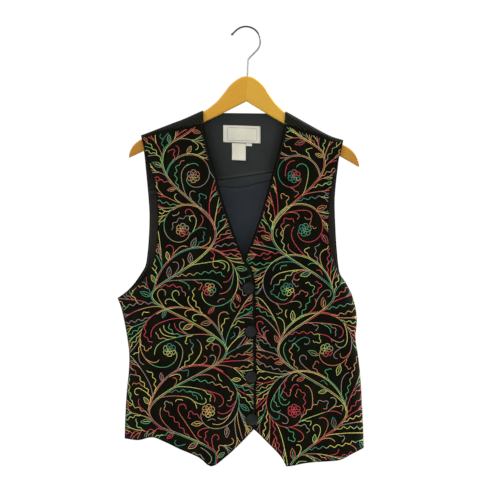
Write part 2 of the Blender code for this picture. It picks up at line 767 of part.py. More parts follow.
def hook_route():
    """x, z and swelling along the hook's wire, from the end of the shank in the wood to the free tip."""
    centre_z = WIRE / 2.0 - HOOK_RADIUS
    low = math.radians(HOOK_LOW_DEG)
    high = math.radians(HOOK_HIGH_DEG)
    arc_start = (HOOK_RADIUS * math.cos(low), centre_z + HOOK_RADIUS * math.sin(low))
    slope = (math.sin(low), -math.cos(low))
    corner_run = (HANGER_AXIS_X - arc_start[0]) / slope[0]
    corner_z = arc_start[1] + slope[1] * corner_run
    lean = math.atan2(-slope[0], -slope[1])
    tangent = HOOK_BEND * math.tan(lean / 2.0)
    points = [(HANGER_AXIS_X, SHANK_END_Z, 1.0), (HANGER_AXIS_X, corner_z - tangent, 1.0)]
    for step in range(1, HOOK_BEND_STEPS + 1):
        angle = lean * step / HOOK_BEND_STEPS
        x = HANGER_AXIS_X + HOOK_BEND * (1.0 - math.cos(angle))
        points.append((x, corner_z - tangent + HOOK_BEND * math.sin(angle), 1.0))
    for step in range(HOOK_ARC_STEPS + 1):
        angle = mixed(low, high, step / HOOK_ARC_STEPS)
        points.append((HOOK_RADIUS * math.cos(angle), centre_z + HOOK_RADIUS * math.sin(angle), 1.0))
    last_x, last_z, _ = points[-1]
    for run, swell in HOOK_TIP:
        flare = HOOK_FLARE * run
        points.append((last_x - flare * math.sin(high), last_z + flare * math.cos(high), swell))
    return points


def add_hook(name, collection, finish, parent):
    """The hook, a bent wire with a swollen tip."""
    route = hook_route()
    curve = bpy.data.curves.new(name, "CURVE")
    curve.dimensions = "3D"
    curve.bevel_depth = WIRE / 2.0 * MM
    curve.bevel_resolution = 2
    curve.use_fill_caps = True
    spline = curve.splines.new("POLY")
    spline.points.add(len(route) - 1)
    for point, (x, z, swell) in zip(spline.points, route):
        point.co = (x * MM, 0.0, z * MM, 1.0)
        point.radius = swell
    return add_object(name, curve, collection, finish, parent)


def add_button(name, x, z, front, collection, finish):
    """A covered button, turned from its outline, lying on the front's slope."""
    mesh = bpy.data.meshes.new(name)
    points = [(radius * MM, 0.0, height * MM) for radius, height in BUTTON_OUTLINE]
    mesh.from_pydata(points, [(k, k + 1) for k in range(len(points) - 1)], [])
    made = add_object(name, mesh, collection, finish)
    turned = made.modifiers.new("turned", "SCREW")
    turned.steps = BUTTON_SIDES
    turned.render_steps = BUTTON_SIDES
    turned.use_merge_vertices = True
    turned.merge_threshold = 0.0001
    turned.use_smooth_shade = True
    above = surface_y(front, x, z + BUTTON_RADIUS)
    below = surface_y(front, x, z - BUTTON_RADIUS)
    slope = (above - below) / (2.0 * BUTTON_RADIUS)
    middle = (above + below) / 2.0
    reach = np.linspace(-BUTTON_RADIUS, BUTTON_RADIUS, BUTTON_PROBES)
    forward = max(
        middle + slope * dz - surface_y(front, x + dx, z + dz)
        for dz in reach
        for dx in reach
        if math.hypot(dx, dz) < BUTTON_RADIUS
    )
    lift = SUEDE_WALL / 2.0 + SEAM_GAP + forward
    made.location = (x * MM, (middle - lift) * MM, z * MM)
    made.rotation_euler = (math.pi / 2.0 - math.atan(slope), 0.0, 0.0)
    return made


def new_collection(name):
    """A collection in the scene."""
    made = bpy.data.collections.new(name)
    bpy.context.scene.collection.children.link(made)
    return made


def clear_scene():
    """Removes every object of the scene."""
    for old in list(bpy.data.objects):
        bpy.data.objects.remove(old, do_unlink=True)


def build_vest(collection):
    """The cloth pieces, labels and buttons."""
    suede = material("black suede", (0.012, 0.012, 0.010), 0.95)
    back_cloth = material("charcoal twill", (0.033, 0.034, 0.030), 0.85)
    facing_cloth = material("charcoal lining", (0.030, 0.036, 0.032), 0.7)
    lining_cloth = material("navy lining", (0.024, 0.030, 0.048), 0.6)
    label_cloth = material("cream ribbon", (0.80, 0.76, 0.62), 0.6)
    button_cloth = material("covered button", (0.022, 0.025, 0.033), 0.7)
    fronts = (front_grid(LEFT), front_grid(RIGHT))
    back = back_grid(fronts)
    facing = facing_grid(back)
    add_sheet("front_left", fronts[0], SUEDE_WALL, collection, suede)
    add_sheet("front_right", fronts[1], SUEDE_WALL, collection, suede)
    add_sheet("back", back, BACK_WALL, collection, back_cloth)
    add_sheet("back_facing", facing, LINING_WALL, collection, facing_cloth)
    add_sheet("back_lining", lining_grid(back), LINING_WALL, collection, lining_cloth)
    for ribbon in RIBBONS:
        add_sheet(ribbon.name, ribbon_grid(ribbon, facing), LABEL_WALL, collection, label_cloth)
    for number, (x, z) in enumerate(BUTTONS, start=1):
        add_button(f"button_{number}", x, z, fronts[0], collection, button_cloth)


def build_hanger(collection, cutters):
    """The wooden hanger and its hook, tilted about the point that carries them."""
    wood = material("honey wood", (0.60, 0.31, 0.035), 0.4)
    steel = material("polished wire", (0.55, 0.55, 0.56), 0.25, 1.0)
    carrier = bpy.data.objects.new("hanger_carrier", None)
    collection.objects.link(carrier)
    carrier.rotation_euler = (0.0, math.radians(TILT_DEG), 0.0)
    arms = [
        add_arm("hanger_arm_left", -1, collection, wood, carrier),
        add_arm("hanger_arm_right", 1, collection, wood, carrier),
    ]
    add_bore(arms, cutters, carrier)
    add_hook("hanger_hook", collection, steel, carrier)


def main():
    """Makes the vest and its hanger in an empty scene."""
    clear_scene()
    vest = new_collection("vest_on_hanger")
    cutters = new_collection("cutters")
    build_vest(vest)
    build_hanger(vest, cutters)


main()
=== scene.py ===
"""The looks of a buttoned suede vest with a cloth back, hanging on a tilted wooden hanger.

Sizes are in millimetres and become metres where a mesh is written. Left and right are as seen from the
front, which faces -Y. The origin is the point inside the top of the hook where a rail carries it all.
"""

import logging
import math
import random
from dataclasses import dataclass, field
from enum import Enum

import bmesh
import bpy
import numpy as np
from mathutils import Matrix, Vector


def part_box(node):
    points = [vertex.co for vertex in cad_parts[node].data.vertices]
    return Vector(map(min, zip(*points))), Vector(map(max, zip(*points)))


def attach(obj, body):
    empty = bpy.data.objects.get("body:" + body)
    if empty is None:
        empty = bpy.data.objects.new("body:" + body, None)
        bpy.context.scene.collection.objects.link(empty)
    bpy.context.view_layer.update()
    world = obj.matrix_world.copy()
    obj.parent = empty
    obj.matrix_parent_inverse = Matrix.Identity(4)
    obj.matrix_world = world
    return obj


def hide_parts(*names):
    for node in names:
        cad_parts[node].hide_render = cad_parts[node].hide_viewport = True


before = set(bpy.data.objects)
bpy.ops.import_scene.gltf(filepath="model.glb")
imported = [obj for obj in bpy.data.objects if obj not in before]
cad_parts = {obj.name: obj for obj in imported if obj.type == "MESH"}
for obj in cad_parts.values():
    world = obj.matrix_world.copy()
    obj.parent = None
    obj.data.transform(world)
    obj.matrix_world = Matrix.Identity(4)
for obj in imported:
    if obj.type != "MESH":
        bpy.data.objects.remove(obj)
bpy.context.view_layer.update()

MM = 0.001
AXIS_X = 5.2
log = logging.getLogger("vest")

Rows = tuple[tuple[float, ...], ...]
Colour = tuple[float, float, float]
Point = tuple[float, float, float]
Array = np.ndarray
Values = np.ndarray | float
Piece = bpy.types.Object
Finish = bpy.types.Material
Socket = bpy.types.NodeSocket


@dataclass(frozen=True)
class Level:
    """A row of all three panels: its heights at the front edge and at both sides, and how far it turns."""

    centre: float
    left: float
    right: float
    turn: float


LEVELS = tuple(Level(*row) for row in (
    (-205, -250, -250, 0.02), (-235, -275, -275, 0.05), (-265, -300, -300, 0.09), (-297, -325, -325, 0.13),
    (-330, -350, -350, 0.18), (-361, -375, -375, 0.24), (-388, -398, -398, 0.33), (-410, -420, -418, 0.46),
    (-426, -437, -433, 0.62), (-439, -452, -447, 0.77), (-452, -465, -458, 0.89), (-464, -475.5, -468, 1),
    (-478, -490, -486, 1), (-500, -512, -512, 1), (-530, -542, -544, 1), (-562, -573, -580, 1),
    (-595, -604, -620, 1), (-630, -640, -660, 1), (-665, -680, -700, 1), (-702, -722, -738, 1),
))
UNDERARM_LEVEL = 11

DEPTHS = (
    (-180, 13, 9), (-250, 17, 10), (-350, 20, 12.5), (-450, 22, 14),
    (-560, 20, 13.5), (-650, 22, 15), (-770, 25, 17),
)
SEAM_DROPS = ((0, 22), (0.42, 12), (0.72, 5), (1, 1.5))
BACK_HEM = (
    (-213, -722), (-150, -709), (-40, -697), (60, -699), (160, -722), (205.5, -738),
)


@dataclass(frozen=True)
class Half:
    """The outline of one half of the vest in tables, and the form of its side.

    neck, armhole, back_armhole and side hold rows of height, x. hem and crest hold rows of x, height.
    pinch is 1 for a side creased flat and 0 for one that rounds. The turns are in degrees.
    """

    name: str
    sign: int
    neck: Rows
    armhole: Rows
    back_armhole: Rows
    side: Rows
    hem: Rows
    crest: Rows
    pinch: float
    front_turn: float
    back_turn: float


LEFT = Half(
    name="left",
    sign=-1,
    neck=(
        (-146, -77), (-168, -75), (-208, -67.5), (-249, -56), (-303, -41.5), (-344, -28), (-384, -13.5),
        (-405, -4.5), (-423, 6.5), (-436, 11.5), (-453, 14), (-580, 15), (-702, 15.5),
    ),
    armhole=(
        (-190, -185), (-220, -178), (-236, -172), (-255, -166), (-275, -160.5), (-300, -157),
        (-336, -155.5), (-374, -157), (-396, -160), (-418, -165), (-435, -173.5), (-450, -187),
        (-462.5, -205.5), (-475.5, -226),
    ),
    back_armhole=(
        (-190, -185), (-223, -180), (-273, -175), (-334, -171), (-364, -172), (-415, -177), (-441, -191),
        (-461.5, -207.5), (-475.5, -226),
    ),
    side=(
        (-475.5, -226), (-488, -221), (-512, -215), (-542, -209.5), (-586, -205), (-623, -208.5),
        (-663, -211.5), (-722, -213.5),
    ),
    hem=(
        (-213, -722), (-191, -723.5), (-165, -718), (-144.5, -726), (-120, -738), (-82, -754), (-62, -769),
        (-35.5, -752), (-11.5, -730), (15.5, -702),
    ),
    crest=((-185, -190.5), (-148.5, -176.2), (-128, -168.1), (-112, -162), (-77, -146.3)),
    pinch=1,
    front_turn=87,
    back_turn=87,
)

RIGHT = Half(
    name="right",
    sign=1,
    neck=(
        (-147.5, 69.5), (-166, 67), (-205, 59), (-249, 47), (-284, 37.5), (-316, 28.5), (-354, 16.5),
        (-395, 1), (-408, -4.5), (-425, -7), (-702, -7),
    ),
    armhole=(
        (-198, 170), (-229, 163), (-236, 160.5), (-255, 156), (-275, 150), (-300, 146), (-336, 144.5),
        (-374, 146), (-398, 150), (-418, 156), (-433, 162.5), (-449, 174), (-468, 184),
    ),
    back_armhole=(
        (-198, 170), (-229, 163.5), (-269.5, 158), (-308, 155.5), (-354, 157), (-405, 160.5), (-431, 164),
        (-449, 174.5), (-468, 184),
    ),
    side=(
        (-468, 184), (-479, 188), (-512, 193.5), (-544, 191), (-592, 198), (-643, 201.5), (-703, 204.5),
        (-738, 205.5),
    ),
    hem=(
        (-7, -694), (9.5, -702.5), (37, -728), (63, -756), (69.5, -769), (101, -764), (160, -758.5),
        (186, -746.5), (205.5, -738),
    ),
    crest=((69.5, -147.9), (97.5, -164), (128, -181.3), (150, -192.4), (170, -198.7)),
    pinch=0,
    front_turn=102,
    back_turn=76,
)


@dataclass(frozen=True)
class Fold:
    """A soft vertical fold: where it starts, where it meets the hem, its half width and its stand."""

    top_x: float
    top_z: float
    hem_x: float
    width: float
    stand: float


@dataclass(frozen=True)
class Crease:
    """A small crease between two places of a panel: its ends, its half width and how far it stands out."""

    x0: float
    z0: float
    x1: float
    z1: float
    width: float
    stand: float


FOLD_FULL_Z = -700
CREASE_BEND = 0.07
CREASE_REACH = 0.3
CREASE_SOFT = 0.65
FRONT_FOLDS = tuple(Fold(*row) for row in (
    (-135, -470, -166, 20, 6), (-95, -500, -122, 22, -4.5), (-62, -540, -70, 24, 3.5),
    (60, -520, 72, 24, 4), (95, -500, 118, 22, -4.5), (130, -480, 158, 20, 5.5),
))
BACK_FOLDS = tuple(Fold(*row) for row in (
    (-95, -300, -142, 30, 6), (-40, -260, -62, 34, -4.5), (15, -280, 22, 30, 5), (70, -260, 92, 32, -4.5),
    (110, -320, 150, 24, 4.5),
))
FRONT_CREASES = tuple(Crease(*row) for row in (
    (-176, -468, -96, -505, 6, -2.3), (-172, -492, -110, -560, 6.8, 2), (-150, -430, -84, -455, 6.8, 1.7),
    (-142, -330, -118, -410, 6, -1.6), (-62, -250, -92, -330, 7.6, 1.7), (-24, -390, -54, -450, 5.1, -1.4),
    (-22, -470, -58, -512, 5.1, 1.6), (-16, -545, -66, -585, 6, -1.6), (-18, -625, -60, -668, 6, 1.7),
    (-178, -590, -140, -640, 6.8, 1.9), (-120, -640, -132, -722, 6, -1.6), (-96, -680, -88, -745, 6, 1.7),
    (158, -466, 92, -500, 6.8, -2.2), (164, -490, 104, -556, 6.8, 1.9), (136, -420, 82, -446, 6.8, 1.6),
    (132, -320, 112, -404, 6, -1.6), (50, -262, 78, -334, 7.6, 1.6), (34, -470, 70, -520, 6, 1.6),
    (32, -560, 72, -602, 6, -1.6), (34, -640, 66, -690, 6, 1.6), (170, -600, 136, -652, 6.8, 1.9),
    (126, -650, 138, -742, 6.8, -1.7), (98, -690, 90, -752, 6, 1.6), (158, -690, 170, -742, 6, 1.4),
))
BACK_CREASES = tuple(Crease(*row) for row in (
    (-150, -470, -60, -520, 7.4, 3.4), (-152, -500, -84, -572, 7.4, -2.8),
    (-138, -330, -70, -372, 8.1, 2.7), (-120, -250, -60, -300, 8.1, -2.1), (138, -462, 56, -512, 7.4, 3.2),
    (146, -500, 80, -566, 7.4, -2.8), (124, -330, 60, -366, 8.1, 2.5), (108, -256, 50, -300, 8.1, -1.9),
    (-18, -390, -30, -520, 8.1, 2.5), (36, -420, 44, -560, 8.1, -2.3), (-80, -590, -96, -690, 7.4, 2.8),
    (78, -600, 100, -700, 7.4, 2.7), (-8, -620, -4, -690, 7.4, -2.3), (-30, -200, 20, -212, 5.9, 1.7),
))


def hermite(values: Array, tangents: Array, steps: Array, i: Array, t: Array) -> Array:
    """Values of a cubic through knots.

    Args:
        values: The knots' values.
        tangents: The knots' slopes.
        steps: Lengths of the spans between the knots.
        i: The span of each place asked for.
        t: How far along its span each place lies, from 0 to 1.

    Returns:
        The value at each place.
    """
    return (
        values[i] * (1 + 2 * t) * (1 - t) ** 2
        + tangents[i] * steps[i] * t * (1 - t) ** 2
        + values[i + 1] * t**2 * (3 - 2 * t)
        + tangents[i + 1] * steps[i] * t**2 * (t - 1)
    )


def along(table: Rows, at: Values) -> Array:
    """Values of a table of (place, value) rows, by a cubic that never overshoots them.

    Args:
        table: The rows, in any order.
        at: The places asked for.

    Returns:
        The value at each place.
    """
    places, values = np.array(sorted(table), float).T
    steps = np.diff(places)
    slopes = np.diff(values) / steps
    tangents = np.concatenate([slopes[:1], np.zeros(len(slopes) - 1), slopes[-1:]])
    for i in range(1, len(slopes)):
        if slopes[i - 1] * slopes[i] > 0:
            tangents[i] = 2 * slopes[i - 1] * slopes[i] / (slopes[i - 1] + slopes[i])
    at = np.clip(at, places[0], places[-1])
    i = np.clip(np.searchsorted(places, at) - 1, 0, len(steps) - 1)
    t = (at - places[i]) / steps[i]
    return hermite(values, tangents, steps, i, t)


def eased(share: Values) -> Array:
    """A share from 0 to 1 that starts and ends softly."""
    share = np.clip(share, 0, 1)
    return share * share * (3 - 2 * share)


def mixed(first: Values, second: Values, share: Values) -> Array:
    """The value at a share of the way from first to second."""
    return first + (second - first) * share


def spline(values: Array, places: Array, at: Array) -> Array:
    """A smooth curve through rows of values.

    Args:
        values: One row for each place.
        places: Rising places of the rows.
        at: The places asked for.

    Returns:
        One row for each place asked for.
    """
    lift = (slice(None),) + (None,) * (values.ndim - 1)
    steps = np.diff(places)[lift]
    slopes = np.diff(values, axis=0) / steps
    tangents = np.concatenate([slopes[:1], slopes[:1], slopes[1:]])
    share = steps[:-1] / (steps[:-1] + steps[1:])
    tangents[1:-1] = mixed(slopes[:-1], slopes[1:], share)
    i = np.clip(np.searchsorted(places, at, side="right") - 1, 0, len(steps) - 1)
    t = ((at - places[i]) / steps[i].reshape(-1))[lift]
    return hermite(values, tangents, steps, i, t)


def sampled(grid: Array, rows: Array, columns: Array) -> Array:
    """Points of a grid at fractional rows and columns.

    Args:
        grid: Rows and columns of values.
        rows: Fractional rows.
        columns: Fractional columns.

    Returns:
        The value at each place.
    """
    i = np.clip(rows.astype(int), 0, grid.shape[0] - 2)
    j = np.clip(columns.astype(int), 0, grid.shape[1] - 2)
    s = (rows - i)[..., None]
    t = (columns - j)[..., None]
    upper = mixed(grid[i, j], grid[i, j + 1], t)
    lower = mixed(grid[i + 1, j], grid[i + 1, j + 1], t)
    return mixed(upper, lower, s)


def run_of(points: Array) -> Array:
    """The length along a line at each of its points."""
    return np.concatenate([[0], np.cumsum(np.linalg.norm(np.diff(points, axis=0), axis=1))])


def resampled(at: Array, run: Array, values: Array) -> Array:
    """Rows of values at other lengths. run is the length along the line at each given row."""
    return np.stack([np.interp(at, run, column) for column in values.T], axis=1)


def rays(angles: Array) -> Array:
    """Unit vectors at these angles."""
    return np.stack([np.cos(angles), np.sin(angles)], axis=1)


def unit(vectors: Array) -> Array:
    """The same vectors, each of length 1."""
    return vectors / np.maximum(np.linalg.norm(vectors, axis=-1, keepdims=True), 1e-9)


def fold_relief(folds: tuple[Fold, ...], x: Array, z: Array) -> Array:
    """How far the long folds stand out at a place.

    Args:
        folds: The folds.
        x: Places across.
        z: Heights.

    Returns:
        The relief at each place.
    """
    relief = np.zeros_like(x)
    for fold in folds:
        share = (fold.top_z - z) / (fold.top_z - FOLD_FULL_Z)
        middle = mixed(fold.top_x, fold.hem_x, np.clip(share, 0, 1.3))
        relief += fold.stand * eased(share) * np.exp(-(((x - middle) / fold.width) ** 2))
    return relief


def crease_relief(creases: tuple[Crease, ...], x: Array, z: Array) -> Array:
    """How far the small creases stand out at a place.

    Args:
        creases: The creases.
        x: Places across.
        z: Heights.

    Returns:
        The relief at each place.
    """
    relief = np.zeros_like(x)
    for crease in creases:
        run = np.array([crease.x1 - crease.x0, crease.z1 - crease.z0], float)
        length = float(np.hypot(*run))
        run /= length
        share = ((x - crease.x0) * run[0] + (z - crease.z0) * run[1]) / length
        bend = CREASE_BEND * length * np.sin(np.pi * np.clip(share, -CREASE_REACH, 1 + CREASE_REACH))
        off = (x - crease.x0) * -run[1] + (z - crease.z0) * run[0] - bend
        ends = eased((share + CREASE_REACH) / CREASE_SOFT) * eased((1 + CREASE_REACH - share) / CREASE_SOFT)
        relief += crease.stand * ends * np.exp(-((off / crease.width) ** 2))
    return relief


def depth(z: Array, column: int) -> Array:
    """Distance of the fronts (column 1) or the back (column 2) from Y = 0 at a height."""
    return along(tuple((row[0], row[column]) for row in DEPTHS), z)


@dataclass
class Surface:
    """A sheet's middle surface: points, normals that face the front, and where its rows and columns lie."""

    points: Array
    row_index: Array
    column_index: Array
    normals: Array = field(init=False)

    def __post_init__(self) -> None:
        """Works out the normals."""
        self.normals = self.normals_of(self.points)

    @staticmethod
    def normals_of(points: Array) -> Array:
        """Unit normals at a grid's points, which face the front."""
        normal = unit(np.cross(np.gradient(points, axis=1), np.gradient(points, axis=0)))
        return normal * np.where(normal[..., 1:2] > 0, -1, 1)

    def raised(self, relief: Array) -> "Surface":
        """The same surface with each point moved out along its normal."""
        return Surface(self.points + self.normals * relief[..., None], self.row_index, self.column_index)

    def at(self, rows: Array, columns: Array, lift: Values = 0) -> Array:
        """Points over the surface.

        Args:
            rows: Fractional rows of the pattern, not of this finer grid.
            columns: Fractional columns of the pattern.
            lift: How far each point lies in front of the surface.

        Returns:
            The points.
        """
        i = np.interp(rows, self.row_index, np.arange(len(self.row_index)))
        j = np.interp(columns, self.column_index, np.arange(len(self.column_index)))
        lift = np.asarray(lift, float)[..., None]
        return sampled(self.points, i, j) + sampled(self.normals, i, j) * lift

    def area(self) -> float:
        """The surface's area in square metres.

        Returns:
            The area.
        """
        across = np.diff(self.points, axis=1)[:-1]
        down = np.diff(self.points, axis=0)[:, :-1]
        return float(np.nansum(np.linalg.norm(np.cross(across, down), axis=2))) * MM * MM


@dataclass
class Pattern:
    """The vest's cut: each panel as a grid of points, from the shoulder down to the hem."""

    flat_steps: int = 10
    turn_steps: int = 5
    shoulder_steps: int = 5
    over_steps: int = 8
    neck_steps: int = 10
    turn_width: float = 30
    crest_radius: float = 10
    shoulder_end: float = 40
    behind_crest: tuple[float, ...] = (-8, -16, -30)
    shoulder_centre: float = -3
    shoulder_reach: float = 201.4
    shoulder_bow: float = 12
    shoulder_seam_gap: float = 0.45
    blend_drop: float = 70
    overlap_offset: float = 1
    overlap_full: float = 40
    overlap_end: float = 100
    cell: float = 4.2
    edge_fade: float = 4
    hem_rows: float = 3

    @property
    def zone(self) -> int:
        """How many columns of the back belong to each shoulder."""
        return self.flat_steps + self.turn_steps + 1

    def bow(self, x: Array) -> Array:
        """How far the shoulders curve towards the front."""
        return -self.shoulder_bow * ((x - self.shoulder_centre) / self.shoulder_reach) ** 2

    def over_crest(self, half: Half, x: Array, run: Values) -> Array:
        """The cloth over the hanger.

        Args:
            half: The half of the vest.
            x: Places across.
            run: Length along the cloth from the crest, positive towards the front.

        Returns:
            Points on the cloth.
        """
        quarter = self.crest_radius * math.pi / 2
        angle = np.clip(np.abs(run) / self.crest_radius, 0, math.pi / 2)
        drop = self.crest_radius * (1 - np.cos(angle)) + np.maximum(np.abs(run) - quarter, 0)
        y = self.bow(x) - np.sign(run) * self.crest_radius * np.sin(angle)
        return np.stack([x, y + 0 * x, along(half.crest, x) - drop], axis=-1)

    def seam_run(self, share: Values) -> Array:
        """Length from the crest to the shoulder seam, at a share of the shoulder from neck to armhole.

        Args:
            share: A share from neck to armhole.

        Returns:
            The length at each share.
        """
        drop = along(SEAM_DROPS, share)
        radius = self.crest_radius
        on_bend = radius * np.arccos(np.clip(1 - drop / radius, 0, 1))
        return np.where(drop < radius, on_bend, radius * math.pi / 2 + drop - radius)

    def outer_x(self, half: Half, armhole: Rows, z: float) -> float:
        """x of a panel's outer edge at a height, on its armhole or on its side below that."""
        return float(along(armhole if z >= half.side[0][0] else half.side, z))

    def side_turn(self, half: Half, degrees: float, closed: bool) -> tuple[Array, Array]:
        """Shares of the turn's width and cosines of its angle, at the columns round the side.

        Args:
            half: The half of the vest.
            degrees: How far the side turns.
            closed: Whether the side is closed.

        Returns:
            The shares and the cosines.
        """
        steps = np.linspace(0, 1, self.turn_steps + 1)
        angles = np.radians(max(degrees, 1)) * steps
        full = 1 if closed or degrees > 90 else math.sin(angles[-1])
        return mixed(np.sin(angles) / full, steps, half.pinch), np.cos(angles)

    def edge_columns(
        self, half: Half, inner: float, outer: float, degrees: float, closed: bool
    ) -> tuple[Array, Array]:
        """The columns of a panel at a row, from an inner edge out round its side.

        Args:
            half: The half of the vest.
            inner: x where the columns start.
            outer: x of the outer edge.
            degrees: How far the side turns at this row.
            closed: Whether the side is closed here.

        Returns:
            x of the columns, and how far each still faces the front or the back.
        """
        across, facing = self.side_turn(half, degrees, closed)
        turn_start = outer - half.sign * self.turn_width
        flat = np.linspace(inner, turn_start, self.flat_steps + 1)[:-1]
        x = np.concatenate([flat, turn_start + half.sign * self.turn_width * across])
        return x, np.concatenate([np.ones(self.flat_steps), facing])

    def front_columns(self, inner: float, outer: float) -> tuple[Array, Array]:
        """x and share across, at the columns of a front whose side has not turned yet.

        Args:
            inner: x of the inner edge.
            outer: x of the outer edge.

        Returns:
            x of the columns and their shares across.
        """
        turn_start = outer - math.copysign(self.turn_width, outer - inner)
        flat = np.linspace(inner, turn_start, self.flat_steps + 1)[:-1]
        x = np.concatenate([flat, np.linspace(turn_start, outer, self.turn_steps + 1)])
        return x, (x - inner) / (outer - inner)

    def front_shoulder(self, half: Half) -> list[Array]:
        """The rows of a front from its shoulder seam down past the hanger.

        Args:
            half: The half of the vest.

        Returns:
            The rows.
        """
        neck_top, tip = half.neck[0][1], half.armhole[0][1]
        rows = []
        for share in np.linspace(0, 1, self.shoulder_steps + 1):
            neck_run = float(mixed(self.seam_run(0), self.shoulder_end, share))
            tip_run = float(mixed(self.seam_run(1), self.shoulder_end, share))
            neck_z = self.over_crest(half, np.array(neck_top), neck_run)[2]
            tip_z = self.over_crest(half, np.array(tip), tip_run)[2]
            x, across = self.front_columns(float(along(half.neck, neck_z)), float(along(half.armhole, tip_z)))
            rows.append(self.over_crest(half, x, mixed(self.seam_run(across), self.shoulder_end, share)))
        return rows

    def hem_weight(self, number: float) -> float:
        """How much of the hem's shape shows at a level."""
        return float(eased((number - UNDERARM_LEVEL - 1) / (len(LEVELS) - 2 - UNDERARM_LEVEL)))

    def front_body(self, half: Half, number: int, level: Level) -> Array:
        """One row of a front below the shoulder.

        Args:
            half: The half of the vest.
            number: The level's number.
            level: The level.

        Returns:
            Points of the row.
        """
        inner = float(along(half.neck, level.centre))
        side_z = level.left if half.sign < 0 else level.right
        outer = self.outer_x(half, half.armhole, side_z)
        x, facing = self.edge_columns(half, inner, outer, level.turn * half.front_turn, False)
        turn_share = (x[self.flat_steps] - inner) / (outer - inner)
        flat = np.linspace(0, turn_share, self.flat_steps + 1)[:-1]
        shares = np.concatenate([flat, np.linspace(turn_share, 1, self.turn_steps + 1)])
        last = LEVELS[-1]
        last_side = last.left if half.sign < 0 else last.right
        z = mixed(level.centre, side_z, shares)
        z = z + self.hem_weight(number) * (along(half.hem, x) - mixed(last.centre, last_side, shares))
        front = -depth(z, 1) - fold_relief(FRONT_FOLDS, x, z)
        shoulder_z = along(half.crest, x) - self.shoulder_end
        front = mixed(self.bow(x) - self.crest_radius, front, eased((shoulder_z - z) / self.blend_drop))
        near = (self.overlap_end - x * half.sign) / (self.overlap_end - self.overlap_full)
        front = front + half.sign * self.overlap_offset * eased(near)
        middle = (depth(z, 2) - depth(z, 1)) / 2
        return np.stack([x, middle + (front - middle) * facing, z], axis=-1)

    def front_grid(self, half: Half) -> Array:
        """All rows of one front, with columns from its neck and front edge out to its armhole and side."""
        body = [self.front_body(half, number, level) for number, level in enumerate(LEVELS)]
        return np.array(self.front_shoulder(half) + body)

    def back_row_x(self, turn: float, side_z: tuple, neck_x: tuple) -> tuple[Array, Array]:
        """x and facing of the back's columns at a row, from the left edge to the right one.

        Args:
            turn: How far the level turns.
            side_z: Heights at both sides.
            neck_x: Where both shoulders start.

        Returns:
            x and facing of the columns.
        """
        sides = []
        for half, z, neck in zip((LEFT, RIGHT), side_z, neck_x):
            outer = self.outer_x(half, half.back_armhole, z)
            sides.append(self.edge_columns(half, neck, outer, turn * half.back_turn, turn >= 1))
        (left_x, left_facing), (right_x, right_facing) = sides
        middle = np.linspace(neck_x[0], neck_x[1], self.neck_steps + 1)[1:-1]
        x = np.concatenate([left_x[::-1], middle, right_x])
        return x, np.concatenate([left_facing[::-1], np.ones(len(middle)), right_facing])

    def back_behind_crest(self, run: float) -> Array:
        """A row of the back at a length behind the crest, which crosses the neck between the shoulders.

        Args:
            run: Length behind the crest.

        Returns:
            Points of the row.
        """
        ends = ((LEFT, 0), (RIGHT, -1))
        tips = tuple(float(self.over_crest(half, np.array(half.crest[tip][0]), run)[2]) for half, tip in ends)
        x, _ = self.back_row_x(0, tips, (LEFT.neck[0][1], RIGHT.neck[0][1]))
        zone = self.zone
        left = self.over_crest(LEFT, x[:zone], run)
        right = self.over_crest(RIGHT, x[-zone:], run)
        share = np.linspace(0, 1, self.neck_steps + 1)[1:-1]
        y = mixed(left[-1, 1], right[0, 1], share)
        y = mixed(self.crest_radius, y, (2 * share - 1) ** 4)
        middle = np.stack([x[zone:-zone], y, mixed(left[-1, 2], right[0, 2], share)], axis=-1)
        return np.concatenate([left, middle, right])

    def back_body(self, number: int, level: Level, top_row: Array) -> Array:
        """One row of the back below the shoulders. top_row is the row where it leaves the hanger.

        Args:
            number: The level's number.
            level: The level.
            top_row: The row where the back leaves the hanger.

        Returns:
            Points of the row.
        """
        side_z = (level.left, level.right)
        neck_x = tuple(
            half.neck[0][1] * abs(self.outer_x(half, half.back_armhole, z) / half.armhole[0][1])
            for half, z in zip((LEFT, RIGHT), side_z)
        )
        x, facing = self.back_row_x(level.turn, side_z, neck_x)
        share = np.maximum.accumulate(np.clip((x - x[0]) / (x[-1] - x[0]), 0, 1))
        share[-self.turn_steps - 1 :] = np.linspace(share[-self.turn_steps - 1], 1, self.turn_steps + 1)
        last = LEVELS[-1]
        z = mixed(level.left, level.right, share)
        z = z + self.hem_weight(number) * (along(BACK_HEM, x) - mixed(last.left, last.right, share))
        behind = depth(z, 2) + fold_relief(BACK_FOLDS, x, z)
        behind = mixed(top_row[:, 1], behind, eased((top_row[:, 2] - z) / self.blend_drop))
        middle = (depth(z, 2) - depth(z, 1)) / 2
        return np.stack([x, middle + (behind - middle) * facing, z], axis=-1)

    def back_grid(self, fronts: tuple[Array, Array]) -> Array:
        """All rows of the back. Those over the crest exist only at the shoulders, and are NaN at the neck.

        Args:
            fronts: The grids of both fronts.

        Returns:
            The points.
        """
        behind = [self.back_behind_crest(run) for run in self.behind_crest]
        base = behind + [self.back_body(number, level, behind[-1]) for number, level in enumerate(LEVELS)]
        over = np.full((self.over_steps, base[0].shape[0], 3), np.nan)
        zone = self.zone
        sides = ((LEFT, fronts[0], slice(zone - 1, None, -1)), (RIGHT, fronts[1], slice(-zone, None)))
        for half, front, columns in sides:
            start = base[0][columns][:, 0]
            seam = front[0][:, 0]
            _, across = self.front_columns(seam[0], seam[-1])
            end_run = self.seam_run(across) - self.shoulder_seam_gap
            for step in range(self.over_steps):
                share = 1 - step / self.over_steps
                x = mixed(start, seam, share)
                over[step, columns] = self.over_crest(half, x, mixed(self.behind_crest[0], end_run, share))
        return np.concatenate([over, np.array(base)])

